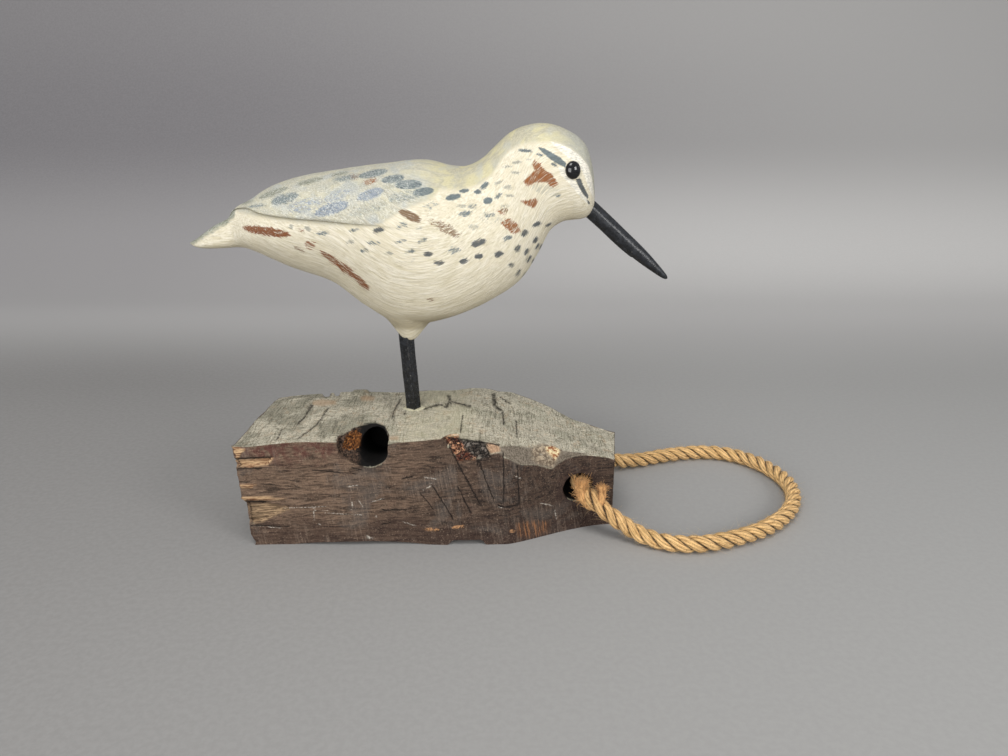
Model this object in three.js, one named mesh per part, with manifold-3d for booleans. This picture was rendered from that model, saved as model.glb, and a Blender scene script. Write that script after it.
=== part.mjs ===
// A carved and painted shorebird on one square leg, standing on a piece of old timber with a rope loop.
// Millimetres, +Z up, +X towards the bill. The origin is the centre of the timber's flat underside.
import * as THREE from 'three';
import { ParametricGeometry } from 'three/addons/geometries/ParametricGeometry.js';
import { mergeVertices } from 'three/addons/utils/BufferGeometryUtils.js';
import Module from 'manifold-3d';

const wasm = await Module();
wasm.setup();

// Driving dimensions
const CLEARANCE = 0.3; // air left between two pieces that touch on the real object

const BLOCK_LENGTH = 206;
const BLOCK_DEPTH = 79;
const BLOCK_HEIGHT = 62; // underside to the top face where the leg stands
const PEG_BORE = 18; // old peg hole through the front top edge
const PEG_BORE_DEPTH = 54;
const ROPE_BORE = 17.5;

const LEG_SIDE = 6.3; // a quarter inch square stick
const LEG_SHOWN = 42; // leg seen between the timber and the belly
const LEG_IN_BLOCK = 24;
const LEG_IN_BODY = 20;
const LEG_LEAN = THREE.MathUtils.degToRad(3.5);
const LEG_TURN = THREE.MathUtils.degToRad(-32);
const PUTTY_DIAMETER = 14.5;
const PUTTY_DEPTH = 7;
const PUTTY_CROWN = 1.1; // how far the filler stands above the timber

const BODY_LENGTH = 223; // tail tip to the front of the face
const BOSS_DIAMETER = 12; // lower end of the swelling that takes the leg
const BOSS_HEIGHT = 17;

const BILL_LENGTH = 58; // face to tip
const BILL_DIAMETER = 9.6;
const BILL_IN_HEAD = 9;
const EYE_DIAMETER = 8.6;
const EYE_BULGE = 2.6;

const ROPE_DIAMETER = 9.6;
const ROPE_SIDES = 10;
const ROPE_STEPS = 46;

// Where the pieces stand, worked out from the sizes above
const LEG_FOOT = new THREE.Vector3(-0.064 * BLOCK_LENGTH, 0.127 * BLOCK_DEPTH, BLOCK_HEIGHT);
const LEG_UP = new THREE.Vector3(-Math.sin(LEG_LEAN), 0, Math.cos(LEG_LEAN));
const BODY_SEAT = LEG_FOOT.clone().addScaledVector(LEG_UP, LEG_SHOWN);
const ROPE_BORE_AXIS = { x: 0.398 * BLOCK_LENGTH, z: 0.411 * BLOCK_HEIGHT };

const unit = BODY_LENGTH / 100;
const { clamp, lerp, smoothstep } = THREE.MathUtils;

// A smooth curve through [position, value] pairs
function curveThrough(pairs) {
  const spline = new THREE.SplineCurve(pairs.map(([at, value]) => new THREE.Vector2(at, value)));
  const table = spline.getPoints(pairs.length * 12);
  return (at) => {
    const after = table.findIndex((point) => point.x >= at);
    if (after < 0) return table.at(-1).y;
    if (after === 0) return table[0].y;
    const [a, b] = [table[after - 1], table[after]];
    return lerp(a.y, b.y, (at - a.x) / (b.x - a.x || 1));
  };
}

// Geometry in and out of the solid library
function solidOf(geometry) {
  const bare = geometry.clone();
  bare.deleteAttribute('normal');
  bare.deleteAttribute('uv');
  const merged = mergeVertices(bare, 1e-4);
  const corners = merged.index.array;
  const kept = [];
  for (let i = 0; i < corners.length; i += 3) {
    const [a, b, c] = [corners[i], corners[i + 1], corners[i + 2]];
    if (a !== b && b !== c && c !== a) kept.push(a, b, c);
  }
  const mesh = new wasm.Mesh({
    numProp: 3,
    vertProperties: new Float32Array(merged.attributes.position.array),
    triVerts: new Uint32Array(kept),
  });
  return new wasm.Manifold(mesh);
}

function geometryOf(solid) {
  const { vertProperties, triVerts } = solid.getMesh();
  const geometry = new THREE.BufferGeometry();
  geometry.setAttribute('position', new THREE.BufferAttribute(new Float32Array(vertProperties), 3));
  geometry.setIndex(new THREE.BufferAttribute(new Uint32Array(triVerts), 1));
  geometry.computeVertexNormals();
  return geometry;
}

// Turns a geometry built along +Z so that it runs along a direction from a point
function along(geometry, from, direction, turn = 0) {
  const aim = new THREE.Quaternion().setFromUnitVectors(new THREE.Vector3(0, 0, 1), direction);
  return geometry.rotateZ(turn).applyQuaternion(aim).translate(from.x, from.y, from.z);
}

function rod(diameter, length, sides = 24) {
  return new THREE.CylinderGeometry(diameter / 2, diameter / 2, length, sides)
    .rotateX(Math.PI / 2)
    .translate(0, 0, length / 2);
}

// The timber: a box whose six faces are each a gently uneven function. Along its length, as shares of the
// height: where the top face lies, how much the front top edge has lost, and how steep that loss is
const topProfile = curveThrough([
  [-0.52, 0.95], [-0.34, 1.0], [-0.14, 1.005], [0.03, 1.025], [0.11, 1.05],
  [0.19, 1.0], [0.29, 0.885], [0.39, 0.765], [0.52, 0.655],
]);
const edgeLoss = curveThrough([
  [-0.52, 0.013], [0.0, 0.013], [0.035, 0.065], [0.06, 0.177], [0.11, 0.185], [0.16, 0.129],
  [0.23, 0.161], [0.31, 0.121], [0.35, 0.04], [0.37, 0.019], [0.52, 0.019],
]);
const edgeSlope = curveThrough([[-0.52, 0.9], [0.03, 0.5], [0.12, 0.35], [0.2, 0.8], [0.3, 1.1], [0.52, 1]]);

function blockPoint(u, v, w) {
  const corner = 0.01 * (1 - smoothstep(w, 0, 0.12));
  const lean = lerp(0.02, 0.01, v) * (1 - w) + (w < 0.46 ? 0.007 : 0) + corner;
  const left = -0.505 + lean + 0.02 * v;
  const right = lerp(0.493, 0.522, v);
  const x = lerp(left, right, u);
  const turnIn = clamp((x - 0.2) / 0.3, 0, 1);
  const front = -0.5 + 0.295 * Math.sin(0.5 * Math.PI * turnIn) ** 1.35 - 0.006 * Math.sin(21 * x + 4 * w);
  const back = 0.5 - 0.15 * turnIn ** 1.6 + 0.008 * Math.sin(17 * x + 3 * w);
  let y = lerp(front, back, v) * BLOCK_DEPTH;
  const topHeight = topProfile(x) * BLOCK_HEIGHT + 0.35 * Math.sin(31 * x + 9 * v);
  const notch = smoothstep(x, 0.04, 0.06) * (1 - smoothstep(x, 0.13, 0.15)) * (1 - smoothstep(v, 0, 0.14));
  let z = lerp(2.6 * notch, topHeight, w);
  const fromFront = y - front * BLOCK_DEPTH;
  const fromTop = topHeight - z;
  const steep = 1 / edgeSlope(x);
  const lost = edgeLoss(x) * BLOCK_HEIGHT - fromFront * steep - fromTop;
  if (lost > 0) {
    y += (lost * steep) / (steep * steep + 1);
    z -= lost / (steep * steep + 1);
  }
  return [x * BLOCK_LENGTH, y, z];
}

// Grid lines crowd towards both ends of a face
const crowd = (t) => lerp(t, 0.5 - 0.5 * Math.cos(Math.PI * t), 0.55);

function timber() {
  const geometry = new THREE.BoxGeometry(1, 1, 1, 38, 7, 9);
  const position = geometry.attributes.position;
  for (let i = 0; i < position.count; i++) {
    const u = position.getX(i) + 0.5;
    const v = crowd(position.getY(i) + 0.5);
    const w = crowd(position.getZ(i) + 0.5);
    position.setXYZ(i, ...blockPoint(u, v, w));
  }
  return solidOf(geometry);
}

// The peg hole runs back into the timber just under its top face, and its thin roof has broken out
function pegHole() {
  const mouth = new THREE.Vector3(-0.15 * BLOCK_LENGTH, -0.5 * BLOCK_DEPTH, BLOCK_HEIGHT - 0.29 * PEG_BORE);
  const slope = THREE.MathUtils.degToRad(-12);
  const inward = new THREE.Vector3(0, Math.cos(slope), Math.sin(slope));
  const start = mouth.clone().addScaledVector(inward, -PEG_BORE);
  const bore = solidOf(along(rod(PEG_BORE, PEG_BORE_DEPTH + PEG_BORE), start, inward));
  const roofBack = mouth.y + PEG_BORE;
  const well = solidOf(rod(PEG_BORE, PEG_BORE).translate(mouth.x, roofBack, mouth.z));
  const slot = solidOf(new THREE.BoxGeometry(PEG_BORE, 2 * PEG_BORE, PEG_BORE)
    .translate(mouth.x, roofBack - PEG_BORE, mouth.z + PEG_BORE / 2));
  const flank = new THREE.Shape([
    new THREE.Vector2(0, -0.62 * PEG_BORE),
    new THREE.Vector2(-0.78 * PEG_BORE, -0.1 * PEG_BORE),
    new THREE.Vector2(-0.84 * PEG_BORE, 0.16 * PEG_BORE),
    new THREE.Vector2(-0.62 * PEG_BORE, PEG_BORE),
    new THREE.Vector2(0, PEG_BORE),
  ]);
  const tornDepth = 0.55 * PEG_BORE;
  const torn = solidOf(new THREE.ExtrudeGeometry(flank, { depth: 2 * tornDepth, bevelEnabled: false })
    .rotateX(Math.PI / 2)
    .rotateZ(THREE.MathUtils.degToRad(-24))
    .translate(mouth.x, mouth.y + tornDepth, mouth.z));
  return bore.add(well).add(slot).add(torn);
}

// A shallow place where the grain has split away from the front face near the left end
function splitAway(outline, depth) {
  const shape = new THREE.Shape(outline.map(([x, z]) => new THREE.Vector2(x * BLOCK_LENGTH, z * BLOCK_HEIGHT)));
  const geometry = new THREE.ExtrudeGeometry(shape, { depth: 2 * depth, bevelEnabled: false })
    .rotateX(Math.PI / 2)
    .translate(0, -0.5 * BLOCK_DEPTH + depth, 0);
  return solidOf(geometry);
}

const BIG_SPLIT = [[-0.53, 0.215], [-0.45, 0.225], [-0.372, 0.385], [-0.44, 0.415], [-0.53, 0.42]];
const SMALL_SPLIT = [[-0.53, 0.755], [-0.42, 0.765], [-0.402, 0.83], [-0.53, 0.85]];
const BIG_SPLIT_DEPTH = 0.035 * BLOCK_HEIGHT;
const SMALL_SPLIT_DEPTH = 0.026 * BLOCK_HEIGHT;

function legBox(grow) {
  const side = LEG_SIDE + 2 * grow;
  const length = LEG_IN_BLOCK + LEG_SHOWN + LEG_IN_BODY + 2 * grow;
  const start = LEG_FOOT.clone().addScaledVector(LEG_UP, -LEG_IN_BLOCK - grow);
  const box = new THREE.BoxGeometry(side, side, length).translate(0, 0, length / 2);
  return solidOf(along(box, start, LEG_UP, LEG_TURN));
}

function puttyHole() {
  const top = 2 * PUTTY_DEPTH;
  return solidOf(rod(PUTTY_DIAMETER + 2 * CLEARANCE, top).translate(LEG_FOOT.x, LEG_FOOT.y, LEG_FOOT.z - PUTTY_DEPTH));
}

function puttyPlug() {
  const radius = PUTTY_DIAMETER / 2;
  const bottom = CLEARANCE - PUTTY_DEPTH;
  const profile = [[0, bottom], [radius, bottom], [radius, 0], [0.8 * radius, 0.8 * PUTTY_CROWN], [0, PUTTY_CROWN]];
  const plug = new THREE.LatheGeometry(profile.map(([r, z]) => new THREE.Vector2(r, z)), 24)
    .rotateX(Math.PI / 2)
    .translate(LEG_FOOT.x, LEG_FOOT.y, LEG_FOOT.z);
  return solidOf(plug).subtract(legBox(CLEARANCE));
}

function ropeHole() {
  const length = 2 * BLOCK_DEPTH;
  return solidOf(along(
    rod(ROPE_BORE, length),
    new THREE.Vector3(ROPE_BORE_AXIS.x, -length / 2, ROPE_BORE_AXIS.z),
    new THREE.Vector3(0, 1, 0),
  ));
}

// The bird, in hundredths of its length from the place where the leg enters the belly.
// Each section is a rounded figure across the chord from the back to the belly.
// Columns: back x, z; belly x, z; half width; squareness; fullness above; wing thickness; wing edge height
const SECTIONS = [
  [-53.1, 25.5, -53.1, 25.1, 1.9, 0.6, 0, 0, 0.95],
  [-50.8, 27.0, -51.0, 24.1, 3.3, 0.6, 0, 0, 0.95],
  [-46.1, 29.9, -47.5, 23.7, 4.3, 0.6, 0, 0, 0.95],
  [-42.2, 31.5, -42.5, 24.0, 5.0, 0.65, 0, 0, 0.95],
  [-40.4, 33.6, -40.4, 24.0, 5.5, 0.8, 0, 0.5, 0.93],
  [-36.8, 35.7, -37.6, 23.6, 7.6, 0.9, 0, 0.9, 0.86],
  [-31.0, 39.0, -33.5, 21.9, 10.2, 1, 0.05, 1.0, 0.64],
  [-23.3, 41.2, -27.0, 19.0, 12.5, 1, 0.1, 0.9, 0.58],
  [-10.3, 43.3, -17.5, 15.4, 14.6, 1, 0.18, 0.6, 0.56],
  [-2.0, 44.3, -10.0, 9.6, 15.2, 1, 0.25, 0.2, 0.61],
  [6.0, 44.9, -2.5, 5.2, 15.2, 1, 0.22, 0, 0.64],
  [12.0, 43.7, 6.0, 4.9, 14.6, 1, 0.12, 0, 0.64],
  [16.0, 43.5, 15.5, 7.8, 13.6, 1, 0.04, 0, 0.64],
  [19.6, 45.1, 23.3, 11.7, 12.2, 1, 0, 0, 0.64],
  [22.8, 48.0, 29.4, 16.2, 10.6, 1, -0.02, 0, 0.64],
  [26.3, 51.1, 33.4, 22.4, 9.2, 1, 0, 0, 0.64],
  [30.8, 52.9, 36.2, 27.9, 8.6, 1, 0.04, 0, 0.64],
  [35.6, 53.1, 39.0, 30.0, 8.5, 1, 0.06, 0, 0.64],
  [40.6, 51.4, 41.6, 30.6, 8.0, 1, 0.06, 0, 0.64],
  [44.3, 48.5, 43.4, 30.8, 7.0, 1, 0.04, 0, 0.64],
  [46.2, 43.6, 44.8, 31.2, 5.4, 1, 0, 0, 0.64],
  [46.9, 38.0, 45.8, 31.9, 3.4, 1, 0, 0, 0.64],
  [47.0, 34.6, 46.5, 33.0, 1.2, 1, 0, 0, 0.64],
];

// One row of section values at a place between 0, the tail, and 1, the face
function sectionAt(s) {
  const place = clamp(s, 0, 1) * (SECTIONS.length - 1);
  const i = Math.min(Math.floor(place), SECTIONS.length - 2);
  const t = place - i;
  const row = (k) => SECTIONS[clamp(k, 0, SECTIONS.length - 1)];
  const [p, a, b, n] = [row(i - 1), row(i), row(i + 1), row(i + 2)];
  return a.map((value, c) => {
    const bend = 2 * p[c] - 5 * value + 4 * b[c] - n[c];
    const twist = 3 * value - p[c] - 3 * b[c] + n[c];
    return value + 0.5 * t * (b[c] - p[c] + t * (bend + t * twist));
  });
}

const signedPower = (value, power) => Math.sign(value) * Math.abs(value) ** power;

// A point of the skin: s from tail to face, q from 0 at the back over 0.5 at the belly and up again to 1
const WING_LINE = 0.2;
function skinPoint(s, q, target) {
  const [backX, backZ, bellyX, bellyZ, halfWidth, square, fullness, wing, edge] = sectionAt(s);
  const side = q <= 0.5 ? -1 : 1;
  const share = Math.min(q, 1 - q) * 2;
  const edgeAngle = Math.acos(signedPower(clamp(2 * edge - 1, -1, 1), 1 / square));
  const onWing = share <= WING_LINE * 2;
  const angle = onWing
    ? (share / (2 * WING_LINE)) * edgeAngle
    : lerp(edgeAngle, Math.PI, (share - 2 * WING_LINE) / (1 - 2 * WING_LINE));
  const lift = (1 + signedPower(Math.cos(angle), square)) / 2;
  const raised = onWing ? wing * Math.sin((angle / edgeAngle) * (Math.PI / 2)) : 0;
  const y = halfWidth * Math.abs(Math.sin(angle)) ** square * (1 + fullness * Math.cos(angle)) + raised;
  const closed = s <= 0 || s >= 1 ? 0 : 1;
  target.set(
    BODY_SEAT.x + unit * lerp(bellyX, backX, closed ? lift : 0.5),
    BODY_SEAT.y + side * unit * y * closed,
    BODY_SEAT.z + unit * lerp(bellyZ, backZ, closed ? lift : 0.5),
  );
}

// The place on the bird's left or right skin that is straight out from a point of its middle plane
function skinAt(x, z, side) {
  const found = new THREE.Vector3();
  const trial = new THREE.Vector3();
  let nearest = Infinity;
  for (let s = 0.5; s < 1; s += 0.004) {
    for (let q = 0.02; q < 0.5; q += 0.004) {
      skinPoint(s, side < 0 ? q : 1 - q, trial);
      const miss = Math.hypot(trial.x - x, trial.z - z);
      if (miss < nearest) {
        nearest = miss;
        found.copy(trial);
      }
    }
  }
  return found;
}

const EYE_PLACE = { x: BODY_SEAT.x + 40.9 * unit, z: BODY_SEAT.z + 43.3 * unit };

function eyeShape(side, grow) {
  const seat = skinAt(EYE_PLACE.x, EYE_PLACE.z, side);
  const ahead = skinAt(EYE_PLACE.x + unit, EYE_PLACE.z, side).sub(seat);
  const above = skinAt(EYE_PLACE.x, EYE_PLACE.z + unit, side).sub(seat);
  const outward = new THREE.Vector3().crossVectors(ahead, above).normalize();
  if (outward.y * side < 0) outward.negate();
  const bead = new THREE.SphereGeometry(1, 14, 8).rotateX(Math.PI / 2);
  const radius = EYE_DIAMETER / 2 + grow;
  const half = EYE_BULGE + grow;
  return solidOf(along(bead.scale(radius, radius, half), seat, outward));
}

// The bill: a rod that stays full for half its length and then tapers to a blunt tip
const BILL_ROOT = new THREE.Vector3(BODY_SEAT.x + 46.2 * unit, BODY_SEAT.y, BODY_SEAT.z + 33.0 * unit);
const BILL_DROP = THREE.MathUtils.degToRad(40.8);
const BILL_OUT = new THREE.Vector3(Math.cos(BILL_DROP), 0, -Math.sin(BILL_DROP));

function billShape() {
  const radius = BILL_DIAMETER / 2;
  const profile = [[0, -BILL_IN_HEAD], [radius, -BILL_IN_HEAD], [radius, 0]];
  for (let t = 0.1; t < 0.96; t += 0.1) {
    profile.push([radius * (1 - 0.1 * t - 0.68 * t ** 2.6), BILL_LENGTH * t]);
  }
  profile.push([0.13 * radius, 0.99 * BILL_LENGTH], [0, BILL_LENGTH]);
  const turned = new THREE.LatheGeometry(profile.map(([r, z]) => new THREE.Vector2(r, z)), 16)
    .rotateX(Math.PI / 2);
  return solidOf(along(turned, BILL_ROOT, BILL_OUT));
}

function billSocket() {
  const start = BILL_ROOT.clone().addScaledVector(BILL_OUT, -BILL_IN_HEAD - CLEARANCE);
  return solidOf(along(rod(BILL_DIAMETER + 2 * CLEARANCE, BILL_IN_HEAD + BILL_LENGTH), start, BILL_OUT));
}

// The swelling under the belly that the leg goes up into
function boss() {
  const radius = BOSS_DIAMETER / 2;
  const profile = [
    [0, 0], [0.75 * radius, 0], [1.05 * radius, 0.12 * BOSS_HEIGHT], [1.4 * radius, 0.38 * BOSS_HEIGHT],
    [2 * radius, 0.66 * BOSS_HEIGHT], [2.5 * radius, BOSS_HEIGHT], [0, BOSS_HEIGHT],
  ];
  const turned = new THREE.LatheGeometry(profile.map(([r, z]) => new THREE.Vector2(r, z)), 20)
    .rotateX(Math.PI / 2)
    .translate(BODY_SEAT.x + 0.1 * BOSS_DIAMETER, BODY_SEAT.y, BODY_SEAT.z);
  return solidOf(turned);
}

function bird() {
  const skin = new ParametricGeometry((q, s, target) => skinPoint(s, q, target), 30, 58);
  return solidOf(skin)
    .add(boss())
    .subtract(legBox(CLEARANCE))
    .subtract(billSocket())
    .subtract(eyeShape(-1, CLEARANCE))
    .subtract(eyeShape(1, CLEARANCE));
}

// The rope's route, chosen by hand: out of the front of the hole, round on the ground and in at the back
const ROPE_ROUTE = [
  [82.4, -7, 25.6], [83.3, -14.5, 25.5], [85.3, -21.5, 24.8], [88.8, -27.2, 22.6], [93.6, -30.8, 19.0],
  [99.4, -32.6, 14.6], [106.2, -34.6, 10.3], [114.0, -38.0, 6.7], [122.6, -42.4, 4.95], [132.1, -46.2, 4.8],
  [143.5, -47.2, 4.8], [155.5, -44.9, 4.8], [168.5, -40.2, 4.8], [181.2, -33.8, 4.8], [193.4, -25.0, 4.8],
  [204.6, -13.6, 4.8], [214.0, 1.6, 4.8], [218.9, 18.2, 4.8], [219.2, 32.4, 4.8], [215.9, 46.4, 4.8],
  [208.9, 59.6, 4.8], [198.4, 70.2, 4.8], [183.3, 76.0, 4.8], [164.4, 75.0, 4.8], [146.6, 69.6, 4.8],
  [129.6, 63.0, 5.0], [115.6, 57.6, 7.0], [103.6, 51.8, 12.2], [94.0, 44.6, 18.6], [87.0, 36.2, 23.4],
  [83.2, 27.4, 25.4], [82.0, 18.5, 25.6],
];

function ropeShape() {
  const route = new THREE.CatmullRomCurve3(ROPE_ROUTE.map((point) => new THREE.Vector3(...point)), false, 'centripetal');
  const radius = ROPE_DIAMETER / 2;
  const section = new THREE.Shape();
  for (let i = 0; i < ROPE_SIDES; i++) {
    const angle = ((i + 0.5) / ROPE_SIDES) * 2 * Math.PI;
    const corner = [radius * Math.cos(angle), radius * Math.sin(angle)];
    if (i === 0) section.moveTo(...corner);
    else section.lineTo(...corner);
  }
  section.closePath();
  return new THREE.ExtrudeGeometry(section, { steps: ROPE_STEPS, extrudePath: route, curveSegments: 1 });
}

// The finished object
const FINISHES = {
  weatheredTimber: { color: 0x5e4c42, roughness: 0.9, metalness: 0 },
  blackPaint: { color: 0x1d1c1c, roughness: 0.5, metalness: 0 },
  creamPaint: { color: 0xdcd2b8, roughness: 0.6, metalness: 0 },
  blackGlass: { color: 0x060606, roughness: 0.08, metalness: 0 },
  paleFiller: { color: 0xb3ac94, roughness: 0.9, metalness: 0 },
  tanFibre: { color: 0xbf9048, roughness: 0.95, metalness: 0 },
};

const decoy = new THREE.Group();

function addPiece(name, geometry, finish) {
  const mesh = new THREE.Mesh(geometry, new THREE.MeshStandardMaterial(FINISHES[finish]));
  mesh.name = name;
  decoy.add(mesh);
}

const block = timber()
  .subtract(pegHole())
  .subtract(splitAway(BIG_SPLIT, BIG_SPLIT_DEPTH))
  .subtract(splitAway(SMALL_SPLIT, SMALL_SPLIT_DEPTH))
  .subtract(ropeHole())
  .subtract(puttyHole())
  .subtract(legBox(CLEARANCE));

addPiece('block', geometryOf(block), 'weatheredTimber');
addPiece('foot_putty', geometryOf(puttyPlug()), 'paleFiller');
addPiece('leg', geometryOf(legBox(0)), 'blackPaint');
addPiece('body', geometryOf(bird()), 'creamPaint');
addPiece('bill', geometryOf(billShape()), 'blackPaint');
addPiece('eye_right', geometryOf(eyeShape(-1, 0)), 'blackGlass');
addPiece('eye_left', geometryOf(eyeShape(1, 0)), 'blackGlass');
addPiece('rope', ropeShape(), 'tanFibre');

export default decoy;
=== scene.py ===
# %% [markdown]
# A carved and painted shorebird stands on one square leg in a piece of old timber, and a loop of rope runs
# through the end of the timber. The plain solids of all its pieces fix every size and place, so they are
# loaded first and never moved. Each step below then dresses one piece, with a detailed surface worked out
# as an array of places and a finish made of shader nodes. Blender's unit here is the metre, and a length
# in millimetres is written times MM.

import math

import bpy
import numpy as np
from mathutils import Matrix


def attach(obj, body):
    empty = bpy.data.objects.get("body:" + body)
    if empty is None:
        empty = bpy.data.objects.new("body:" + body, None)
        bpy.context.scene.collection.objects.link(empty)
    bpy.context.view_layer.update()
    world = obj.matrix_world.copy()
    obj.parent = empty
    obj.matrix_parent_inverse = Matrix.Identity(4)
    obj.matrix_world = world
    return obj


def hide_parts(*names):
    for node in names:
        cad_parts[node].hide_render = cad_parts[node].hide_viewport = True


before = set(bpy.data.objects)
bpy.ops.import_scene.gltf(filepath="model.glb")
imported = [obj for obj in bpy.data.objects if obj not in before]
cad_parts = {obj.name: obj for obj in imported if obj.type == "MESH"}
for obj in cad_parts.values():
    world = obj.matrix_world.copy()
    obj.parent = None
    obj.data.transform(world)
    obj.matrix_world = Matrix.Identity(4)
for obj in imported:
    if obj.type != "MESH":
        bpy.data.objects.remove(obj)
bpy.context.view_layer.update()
MM = 0.001
print("plain solids:", ", ".join(sorted(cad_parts)))

# %% [markdown]
# The picture was taken from in front of the bird's right side, with the camera a little higher than its
# head and tilted down. The tilt and the lens were found by laying the timber's edges and the two sides of
# the rope's loop over the photograph. The camera is made before any piece, because many painted marks and
# cracks below are placed by the pixel where they show, and that needs the camera's own sums.

# %% The camera
PHOTO_WIDTH = 1008
PHOTO_HEIGHT = 756
FOCAL_PIXELS = 800
SENSOR_WIDTH = 36
CAMERA_PLACE = np.array((40.0, -431.6, 229.0)) * MM
CAMERA_TILT = math.atan(268 / FOCAL_PIXELS)
LOOK = np.array((0.0, math.cos(CAMERA_TILT), -math.sin(CAMERA_TILT)))
RISE = np.array((0.0, math.sin(CAMERA_TILT), math.cos(CAMERA_TILT)))

lens = bpy.data.cameras.new("camera")
lens.sensor_width = SENSOR_WIDTH
lens.lens = SENSOR_WIDTH * FOCAL_PIXELS / PHOTO_WIDTH
camera = bpy.data.objects.new("camera", lens)
camera.location = CAMERA_PLACE
camera.rotation_euler = (math.pi / 2 - CAMERA_TILT, 0, 0)
bpy.context.collection.objects.link(camera)
bpy.context.scene.camera = camera


def together(*parts):
    """Arrays brought to one shape and put side by side along a new last axis."""
    return np.stack(np.broadcast_arrays(*parts), axis=-1)


def seen_at(places):
    """The pixel where each place shows: its way across and up, over its depth, times the focal length."""
    offset = places - CAMERA_PLACE
    depth = offset @ LOOK
    across = PHOTO_WIDTH / 2 + FOCAL_PIXELS * offset[..., 0] / depth
    down = PHOTO_HEIGHT / 2 - FOCAL_PIXELS * (offset @ RISE) / depth
    return together(across, down)


print("the origin shows at pixel", seen_at(np.zeros(3)).round(1))

# %% [markdown]
# Every new piece is a mesh made straight from arrays. Most are skins: a grid of places whose rows are
# rings, each closed round on itself, and whose first and last ring are closed to a point. A few helpers
# turn such a grid into a mesh, keep numbers with its points for the shaders to read, and give soft random
# values in space. Arrays are used because one sum then makes all the points of a piece at once.

# %% Meshes from arrays
def closed_values(grid):
    """The values of a grid of rings as one list, followed by the middle of the first ring and of the last."""
    flat = grid.reshape(-1, *grid.shape[2:])
    return np.concatenate((flat, grid[[0, -1]].mean(axis=1)))


def ring_faces(rows, columns):
    """Quads between each ring and the next, and the triangles that close the two end rings."""
    row = np.arange(rows - 1)[:, None] * columns
    column = np.arange(columns)[None, :]
    after = (column + 1) % columns
    quads = together(row + column, row + after, row + columns + after, row + columns + column)
    column, after = column[0], after[0]
    middle = rows * columns
    last = (rows - 1) * columns
    fans = together(middle, after, column), together(middle + 1, last + column, last + after)
    return quads.reshape(-1, 4), np.concatenate(fans)


def add_piece(name, places, quads, triangles):
    """A mesh object from corner places and faces, all turned round if they hold a negative volume."""
    quads = np.asarray(quads, dtype=np.int32).reshape(-1, 4)
    triangles = np.asarray(triangles, dtype=np.int32).reshape(-1, 3)
    fan = np.concatenate((quads[:, :3], quads[:, [0, 2, 3]], triangles))
    a, b, c = places[fan[:, 0]], places[fan[:, 1]], places[fan[:, 2]]
    if np.einsum("ij,ij->", a, np.cross(b, c)) < 0:
        quads, triangles = quads[:, ::-1], triangles[:, ::-1]
    mesh = bpy.data.meshes.new(name)
    corners = np.concatenate((quads.ravel(), triangles.ravel()))
    starts = np.concatenate((np.arange(len(quads)) * 4, len(quads) * 4 + np.arange(len(triangles)) * 3))
    mesh.vertices.add(len(places))
    mesh.vertices.foreach_set("co", np.asarray(places, dtype=np.float32).ravel())
    mesh.loops.add(len(corners))
    mesh.loops.foreach_set("vertex_index", corners)
    mesh.polygons.add(len(starts))
    mesh.polygons.foreach_set("loop_start", starts.astype(np.int32))
    mesh.update(calc_edges=True)
    mesh.validate()
    mesh.shade_smooth()
    piece = bpy.data.objects.new(name, mesh)
    bpy.context.collection.objects.link(piece)
    print(name, "has", len(mesh.polygons), "faces")
    return piece


def add_skin(name, grid):
    """A closed skin from a grid of rings."""
    return add_piece(name, closed_values(grid), *ring_faces(*grid.shape[:2]))


def all_round(count):
    """Angles evenly all round."""
    return np.linspace(0, 2 * math.pi, count, endpoint=False)


def ring_ways(angle, first, second):
    """The directions at those angles: cosine times the first axis, plus sine times the second."""
    return np.cos(angle)[..., None] * first + np.sin(angle)[..., None] * second


def joined(parts):
    """Places, quads and triangles of several closed skins as one mesh's arrays."""
    starts = np.cumsum([0] + [len(places) for places, quads, triangles in parts[:-1]])
    faces = (np.concatenate([part[k] + start for part, start in zip(parts, starts)]) for k in (1, 2))
    return np.concatenate([part[0] for part in parts]), *faces


# %% Numbers kept with the points
def read_threes(items, field):
    """Three numbers of every item in a mesh's list, as the rows of an array."""
    flat = np.empty(len(items) * 3, dtype=np.float32)
    items.foreach_get(field, flat)
    return flat.reshape(-1, 3).astype(float)


def places_of(piece):
    """The corner places of a piece."""
    return read_threes(piece.data.vertices, "co")


def normals_of(piece):
    """The outward direction at each corner of a piece."""
    return read_threes(piece.data.vertex_normals, "vector")


def move_to(piece, places):
    """Puts the corners of a piece at new places."""
    piece.data.vertices.foreach_set("co", places.astype(np.float32).ravel())
    piece.data.update()


def keep(piece, name, values):
    """Keeps one number, or three, with each corner, under a name that a shader's Attribute node reads."""
    values = np.asarray(values, dtype=np.float32)
    kind, field = ("FLOAT", "value") if values.ndim == 1 else ("FLOAT_VECTOR", "vector")
    piece.data.attributes.new(name, kind, "POINT").data.foreach_set(field, values.ravel())


def soft_step(value, low, high):
    """From 0 at low to 1 at high, level at both ends."""
    share = np.clip((value - low) / (high - low), 0, 1)
    return share * share * (3 - 2 * share)


def cloudy(places, size, seed=0):
    """Soft random values from -1 to 1: a random number at each corner of a lattice, blended between."""
    at = np.asarray(places) / size + 31.7 * (seed + 1)
    cell = np.floor(at).astype(np.int64)
    part = at - cell
    part = part * part * (3 - 2 * part)
    total = 0
    for step in np.ndindex(2, 2, 2):
        corner = cell + step
        mixed = corner[..., 0] * 374761393 + corner[..., 1] * 668265263 + corner[..., 2] * 1440670441
        mixed = ((mixed & 0xFFFFFFFF) ^ ((mixed & 0xFFFFFFFF) >> 13)) * 1274126177 & 0xFFFFFFFF
        weight = np.prod(np.where(step, part, 1 - part), axis=-1)
        total = total + weight * (((mixed >> 16) & 0xFFFF) / 32767.5 - 1)
    return total


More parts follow.
